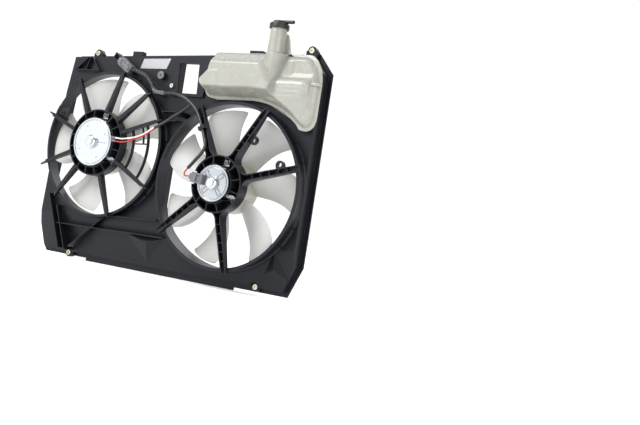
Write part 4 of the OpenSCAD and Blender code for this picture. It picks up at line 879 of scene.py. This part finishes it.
class RADIATORFAN_OT_add_reservoir(bpy.types.Operator):
    """Add the blow-moulded reservoir: its chambers as one soft skin, its seam plate, neck and web"""

    bl_idname = "radiator_fan.add_reservoir"
    bl_label = "Add Reservoir"

    ARC_CENTRE = Vector((196.0, 209.0))
    ARC_RADIUS = 170.0
    SEAM = 42.0
    TOP = 475.0
    NECK = (244.0, 57.0)

    def execute(self, context):
        sizes = context.scene.radiator_fan_reservoir
        self.deep = tapered(
            [(250, 384), (262, 466), (256, 475), (98, 475), (92, 450), (92, 384)],
            [(247, 397), (223, 444), (216, 451), (104, 448), (101, 433), (103, 399)], self.SEAM, 77.0,
        )
        self.nose = tapered(
            [(130, 384), (130, 441), (86, 436), (77, 427), (77, 403), (92, 384)],
            [(128, 399), (128, 433), (100, 430), (83, 420), (82, 408), (98, 399)], self.SEAM, 77.0,
        )
        self.upper = tapered([
            (325, 331), (335, 334), (344, 345), (346, 424), (339, 446), (329, 464), (316, 473), (205, 473),
            (205, 386),
        ], [
            (322, 338), (331, 340), (338, 350), (339, 422), (332, 442), (322, 458), (312, 466), (211, 466),
            (211, 392),
        ], self.SEAM, 51.0)
        self.ledge = tapered(
            [(318, 338), (328, 341), (335, 352), (337, 412), (333, 436), (216, 436), (216, 400)],
            [(310, 382), (322, 384), (328, 390), (329, 404), (326, 420), (224, 420), (224, 407)], 45.0, 60.0,
        )
        work = bmesh.new()
        self.add_skin(work, sizes)
        self.add_seam(work)
        self.add_neck(work, sizes)
        publish(work, "reservoir_shell", "shroud", ["reservoir_tank"], "tank_plastic", smooth_angle=50)
        return {"FINISHED"}

    def depth_at(self, place, soft):
        """Depth of the skin at a place of the engine face."""
        deep, nose, upper, ledge = (
            chamber_depth(chamber, place, soft) for chamber in (self.deep, self.nose, self.upper, self.ledge)
        )
        panels = soft_max(upper, ledge, 3)
        # A sunk field, a raised rib beside it, and three fine level lines
        panels -= 1.6 * soft_band(place.x, 282, 287, 328, 334) * soft_band(place.y, 433, 438, 458, 463)
        panels += 1.8 * soft_band(place.x, 317, 320, 323, 326) * soft_band(place.y, 383, 388, 415, 420)
        lines = sum(soft_step(1.6, 0, abs(place.y - z)) for z in (390, 399, 408))
        panels += 0.5 * soft_band(place.x, 258, 263, 307, 312) * lines
        depth = soft_max(soft_max(deep, nose, 3), panels, soft)
        reach = (place - self.ARC_CENTRE).length - self.ARC_RADIUS - 5
        depth = soft_min(depth, self.SEAM + reach * 2.1, soft)
        # The neck runs down into the deep chamber as a funnel
        rise = min(max((place.y - 396) / 79, 0.0), 1.0)
        radius = 3 + 18 * rise**0.85
        inside = radius**2 - (place.x - 236 - 11 * rise) ** 2
        funnel = 57.0 + math.sqrt(inside) - 30 * (1 - rise) ** 3 if inside > 0 else 0.0
        depth = soft_max(depth, funnel, 4)
        return soft_min(depth, self.SEAM + (self.TOP - place.y) * 9, 4)

    def add_skin(self, work, sizes):
        """A fine sheet over the front of the chambers, closed inside the seam plate."""
        low, high = Vector((72.0, 330.0)), Vector((350.0, 478.0))
        step = sizes.skin_step / MM
        columns, rows = (round((high - low)[i] / step) for i in (0, 1))
        made = bmesh.ops.create_grid(work, x_segments=columns, y_segments=rows, size=1)["verts"]
        for vert in made:
            place = Vector((low[i] + (vert.co[i] + 1) / 2 * (high - low)[i] for i in (0, 1)))
            vert.co = at(place.x, self.depth_at(place, sizes.softness / MM), place.y)
        limit = -(self.SEAM - 0.6) * MM
        outside = [face for face in work.faces if max(vert.co.y for vert in face.verts) > limit + 0.003]
        bmesh.ops.delete(work, geom=outside, context="FACES")
        for vert in work.verts:
            vert.co.y = min(vert.co.y, limit)
        back = bmesh.ops.extrude_face_region(work, geom=list(work.faces))["geom"]
        for vert in back:
            if isinstance(vert, bmesh.types.BMVert):
                vert.co.y = limit + 0.0005

    def add_seam(self, work):
        arc = [
            self.ARC_CENTRE + Vector((math.cos(a), math.sin(a))) * self.ARC_RADIUS
            for a in (math.radians(90 - 40 * i / 24) for i in range(25))
        ]
        rim = rounded([
            (321, 327), (333, 326), (345, 334), (350, 348), (350, 424), (346, 446), (334, 467), (321, 477),
            (92, 475), (88, 455), (76, 438), (66, 426), (66, 414), (76, 402), (80, 391), (89, 381), (105, 378),
        ], 7)
        plate(work, [*rim, *arc], 40.5, 43.5, 0.8)
        back = [
            (325, 333), (334, 335), (342, 346), (344, 424), (337, 445), (327, 463), (316, 471), (205, 471),
            (205, 390),
        ]
        plate(work, rounded(back, 5), 34, 41, 1.5)
        web = [(246, 471), (287, 471), (275, 474), (269, 482), (264, 506), (259, 517), (246, 517)]
        plate(work, rounded(web, 4), 40.5, 43.5, 0.8)
        stub = [(332, 415), (351, 415), (351, 420), (332, 420)]
        plate(work, rounded(stub, 1.5), 47, 55, 0.8)

    def add_neck(self, work, sizes):
        radius = sizes.neck_radius / MM
        lathe(work, [
            (radius - 2.4, 464), (radius + 0.9, 464), (radius + 0.9, 476), (radius, 518), (radius - 0.3, 530),
            (radius - 0.9, 531), (radius - 1.8, 531), (radius - 2.4, 530),
        ], at(*self.NECK, 0), UP, ACROSS)


class RADIATORFAN_OT_add_cap(bpy.types.Operator):
    """Add the filler cap with its grip ribs and hose nipple"""

    bl_idname = "radiator_fan.add_cap"
    bl_label = "Add Filler Cap"

    def execute(self, context):
        centre = at(*RADIATORFAN_OT_add_reservoir.NECK, 531)
        work = bmesh.new()
        lathe(work, [
            (0, -0.1), (17.2, -0.1), (17.4, -0.4), (17.4, -8.8), (19.6, -9), (20, -8.6), (20, -0.6),
            (19.5, 0.8), (17.6, 2.1), (15.8, 2.5), (14.2, 2.6), (14, 3), (13.5, 6), (13, 6.5), (11.4, 6.3),
            (10.8, 5.6), (0, 5.6),
        ], centre, UP, ACROSS, 144)
        grip_ribs = 36
        for vert in work.verts:
            around = vert.co - centre
            flat = Vector((around.x, around.y, 0))
            if flat.length > 0.0193 and around.z < -0.0002:
                wave = math.cos(grip_ribs * math.atan2(flat.y, flat.x))
                vert.co = centre + flat * (1 - 0.022 * soft_step(-0.4, 0.4, wave)) + UP * around.z
        lathe(work, [
            (0, 0), (3.6, 0.4), (3.5, 22), (3.5, 28), (3.7, 29), (3.4, 31), (2.9, 32), (1.9, 32), (1.9, 26),
            (0, 26),
        ], centre + UP * 5.9 * MM, ACROSS, UP, 40)
        publish(work, "filler_cap", "cap", ["reservoir_cap"], "cap_plastic", smooth_angle=40)
        work = bmesh.new()
        lathe(work, [
            (9.5, -0.2), (13.4, -0.2), (13.8, -0.6), (13.8, -3.1), (13.4, -3.5), (11, -3.5), (10.5, -3),
            (9.5, -2.6),
        ], centre, UP, ACROSS, 72)
        publish(work, "cap_gasket", "cap", ["cap_seal"], "seal_rubber")
        return {"FINISHED"}


class RADIATORFAN_OT_dress_frame(bpy.types.Operator):
    """Give every CAD node its finish"""

    bl_idname = "radiator_fan.dress_frame"
    bl_label = "Dress CAD Frame"

    def execute(self, context):
        for name, piece in CAD.items():
            material = finish_of(OWN_FINISH.get(name) or SLOT_OF[name])
            piece.data.materials.clear()
            piece.data.materials.append(material)
        return {"FINISHED"}


class RADIATORFAN_OT_set_stage(bpy.types.Operator):
    """Set the camera, the lights and the floor"""

    bl_idname = "radiator_fan.set_stage"
    bl_label = "Set Stage"

    def execute(self, context):
        stage = context.scene.radiator_fan_stage
        for add in (self.add_camera, self.add_floor, self.add_backdrop, self.add_lights):
            add(context, stage)
        return {"FINISHED"}

    def add_camera(self, context, stage):
        """The place and turn that were fitted to the picture."""
        camera = bpy.data.cameras.new("Camera")
        camera.lens = stage.lens
        camera.sensor_width = 36.0
        camera.clip_start = 0.02
        camera.clip_end = 60.0
        holder = bpy.data.objects.new("Camera", camera)
        right = Vector((0.88211, 0.44574, 0.15229))
        down = Vector((0.12372, 0.09272, -0.98798))
        ahead = Vector((-0.45450, 0.89035, 0.02664))
        turn = Matrix((right, -down, -ahead)).transposed().to_4x4()
        holder.matrix_world = Matrix.Translation((1.075435, -1.389445, 0.134887)) @ turn
        context.scene.collection.objects.link(holder)
        context.scene.camera = holder

    def add_sheet(self, context, name, half, material):
        work = bmesh.new()
        bmesh.ops.create_grid(work, x_segments=1, y_segments=1, size=half)
        mesh = mesh_from(work, name)
        mesh.materials.append(material)
        sheet = bpy.data.objects.new(name, mesh)
        context.scene.collection.objects.link(sheet)
        return sheet

    def mottle(self, tree, first, second, **values):
        """A slow, hardly visible change between two colours."""
        noise = node(tree, "ShaderNodeTexNoise", **values)
        tree.links.new(object_place(tree), noise.inputs["Vector"])
        return mix_colour(tree, noise.outputs["Fac"], first, second)

    def add_floor(self, context, stage):
        material, tree, shader = start_material(
            "Studio Floor", Roughness=0.7, Emission_Color=(1, 1, 1, 1), Emission_Strength=stage.floor_glow
        )
        shade = tuple(c * 0.985 for c in stage.floor)
        tone = self.mottle(tree, shade, stage.floor, Scale=3.0, Detail=3.0)
        tree.links.new(tone, shader.inputs["Base Color"])
        floor = self.add_sheet(context, "studio_floor", 6.0, material)
        floor.location.z = stage.floor_height

    def add_backdrop(self, context, stage):
        """A glowing sheet behind the object, square to the camera's view."""
        material, tree, shader = start_material(
            "Studio Backdrop", Roughness=1.0, Base_Color=(0, 0, 0, 1), Specular_IOR_Level=0.0,
            Emission_Strength=stage.backdrop,
        )
        tone = self.mottle(tree, (0.98, 0.98, 0.98), (1.0, 1.0, 1.0), Scale=0.4)
        tree.links.new(tone, shader.inputs["Emission Color"])
        backdrop = self.add_sheet(context, "studio_backdrop", 9.0, material)
        backdrop.location = (-2.6, 5.2, 2.0)
        backdrop.rotation_euler = (math.radians(90), 0, math.radians(27))

    def add_lights(self, context, stage):
        middle = Vector((0.0, -0.03, 0.25))
        for name, place, size, power in (
            ("Key softbox", (-0.9, -1.9, 2.1), 1.7, stage.key_power),
            ("Front softbox", (-1.5, -2.1, 0.75), 2.0, stage.front_power),
            ("Fill softbox", (2.3, -1.6, 0.9), 1.5, stage.fill_power),
            ("Rim softbox", (0.2, 1.8, 1.9), 1.6, stage.fill_power),
        ):
            light = bpy.data.lights.new(name, "AREA")
            light.shape = "DISK"
            light.size = size
            light.energy = power
            holder = bpy.data.objects.new(name, light)
            holder.location = place
            holder.rotation_mode = "QUATERNION"
            holder.rotation_quaternion = (middle - Vector(place)).to_track_quat("-Z", "Y")
            context.scene.collection.objects.link(holder)
        world = bpy.data.worlds.new("White Surround")
        world.use_nodes = True
        surround = world.node_tree.nodes["Background"]
        surround.inputs["Color"].default_value = (1, 1, 1, 1)
        surround.inputs["Strength"].default_value = stage.surround
        context.scene.world = world
        context.scene.view_settings.view_transform = "Standard"


OPERATORS = (
    RADIATORFAN_OT_dress_frame,
    RADIATORFAN_OT_add_fans,
    RADIATORFAN_OT_add_reservoir,
    RADIATORFAN_OT_add_cap,
    RADIATORFAN_OT_add_harness,
    RADIATORFAN_OT_add_plug,
    RADIATORFAN_OT_add_ring_details,
    RADIATORFAN_OT_set_stage,
)


class RADIATORFAN_PT_sidebar(bpy.types.Panel):
    """Buttons and values of the radiator fan"""

    bl_label = "Radiator Fan"
    bl_space_type = "VIEW_3D"
    bl_region_type = "UI"
    bl_category = "Radiator Fan"

    def draw(self, context):
        layout = self.layout
        for operator in OPERATORS:
            layout.operator(operator.bl_idname)
        for name in SETTINGS:
            values = getattr(context.scene, name)
            column = layout.column(align=True)
            for key in values.__class__.__annotations__:
                column.prop(values, key)


SETTINGS = {
    "radiator_fan_finishes": RadiatorFanFinishes,
    "radiator_fan_harness": RadiatorFanHarness,
    "radiator_fan_blades": RadiatorFanBlades,
    "radiator_fan_reservoir": RadiatorFanReservoir,
    "radiator_fan_stage": RadiatorFanStage,
}
CLASSES = (*SETTINGS.values(), *OPERATORS, RADIATORFAN_PT_sidebar)


def register():
    for cls in CLASSES:
        bpy.utils.register_class(cls)
    for name, cls in SETTINGS.items():
        setattr(bpy.types.Scene, name, PointerProperty(type=cls))


def unregister():
    for name in SETTINGS:
        delattr(bpy.types.Scene, name)
    for cls in reversed(CLASSES):
        bpy.utils.unregister_class(cls)


def main():
    register()
    bpy.ops.radiator_fan.dress_frame()
    bpy.ops.radiator_fan.add_fans()
    bpy.ops.radiator_fan.add_reservoir()
    bpy.ops.radiator_fan.add_cap()
    bpy.ops.radiator_fan.add_harness()
    bpy.ops.radiator_fan.add_plug()
    bpy.ops.radiator_fan.add_ring_details()
    bpy.ops.radiator_fan.set_stage()


if __name__ == "__main__":
    main()
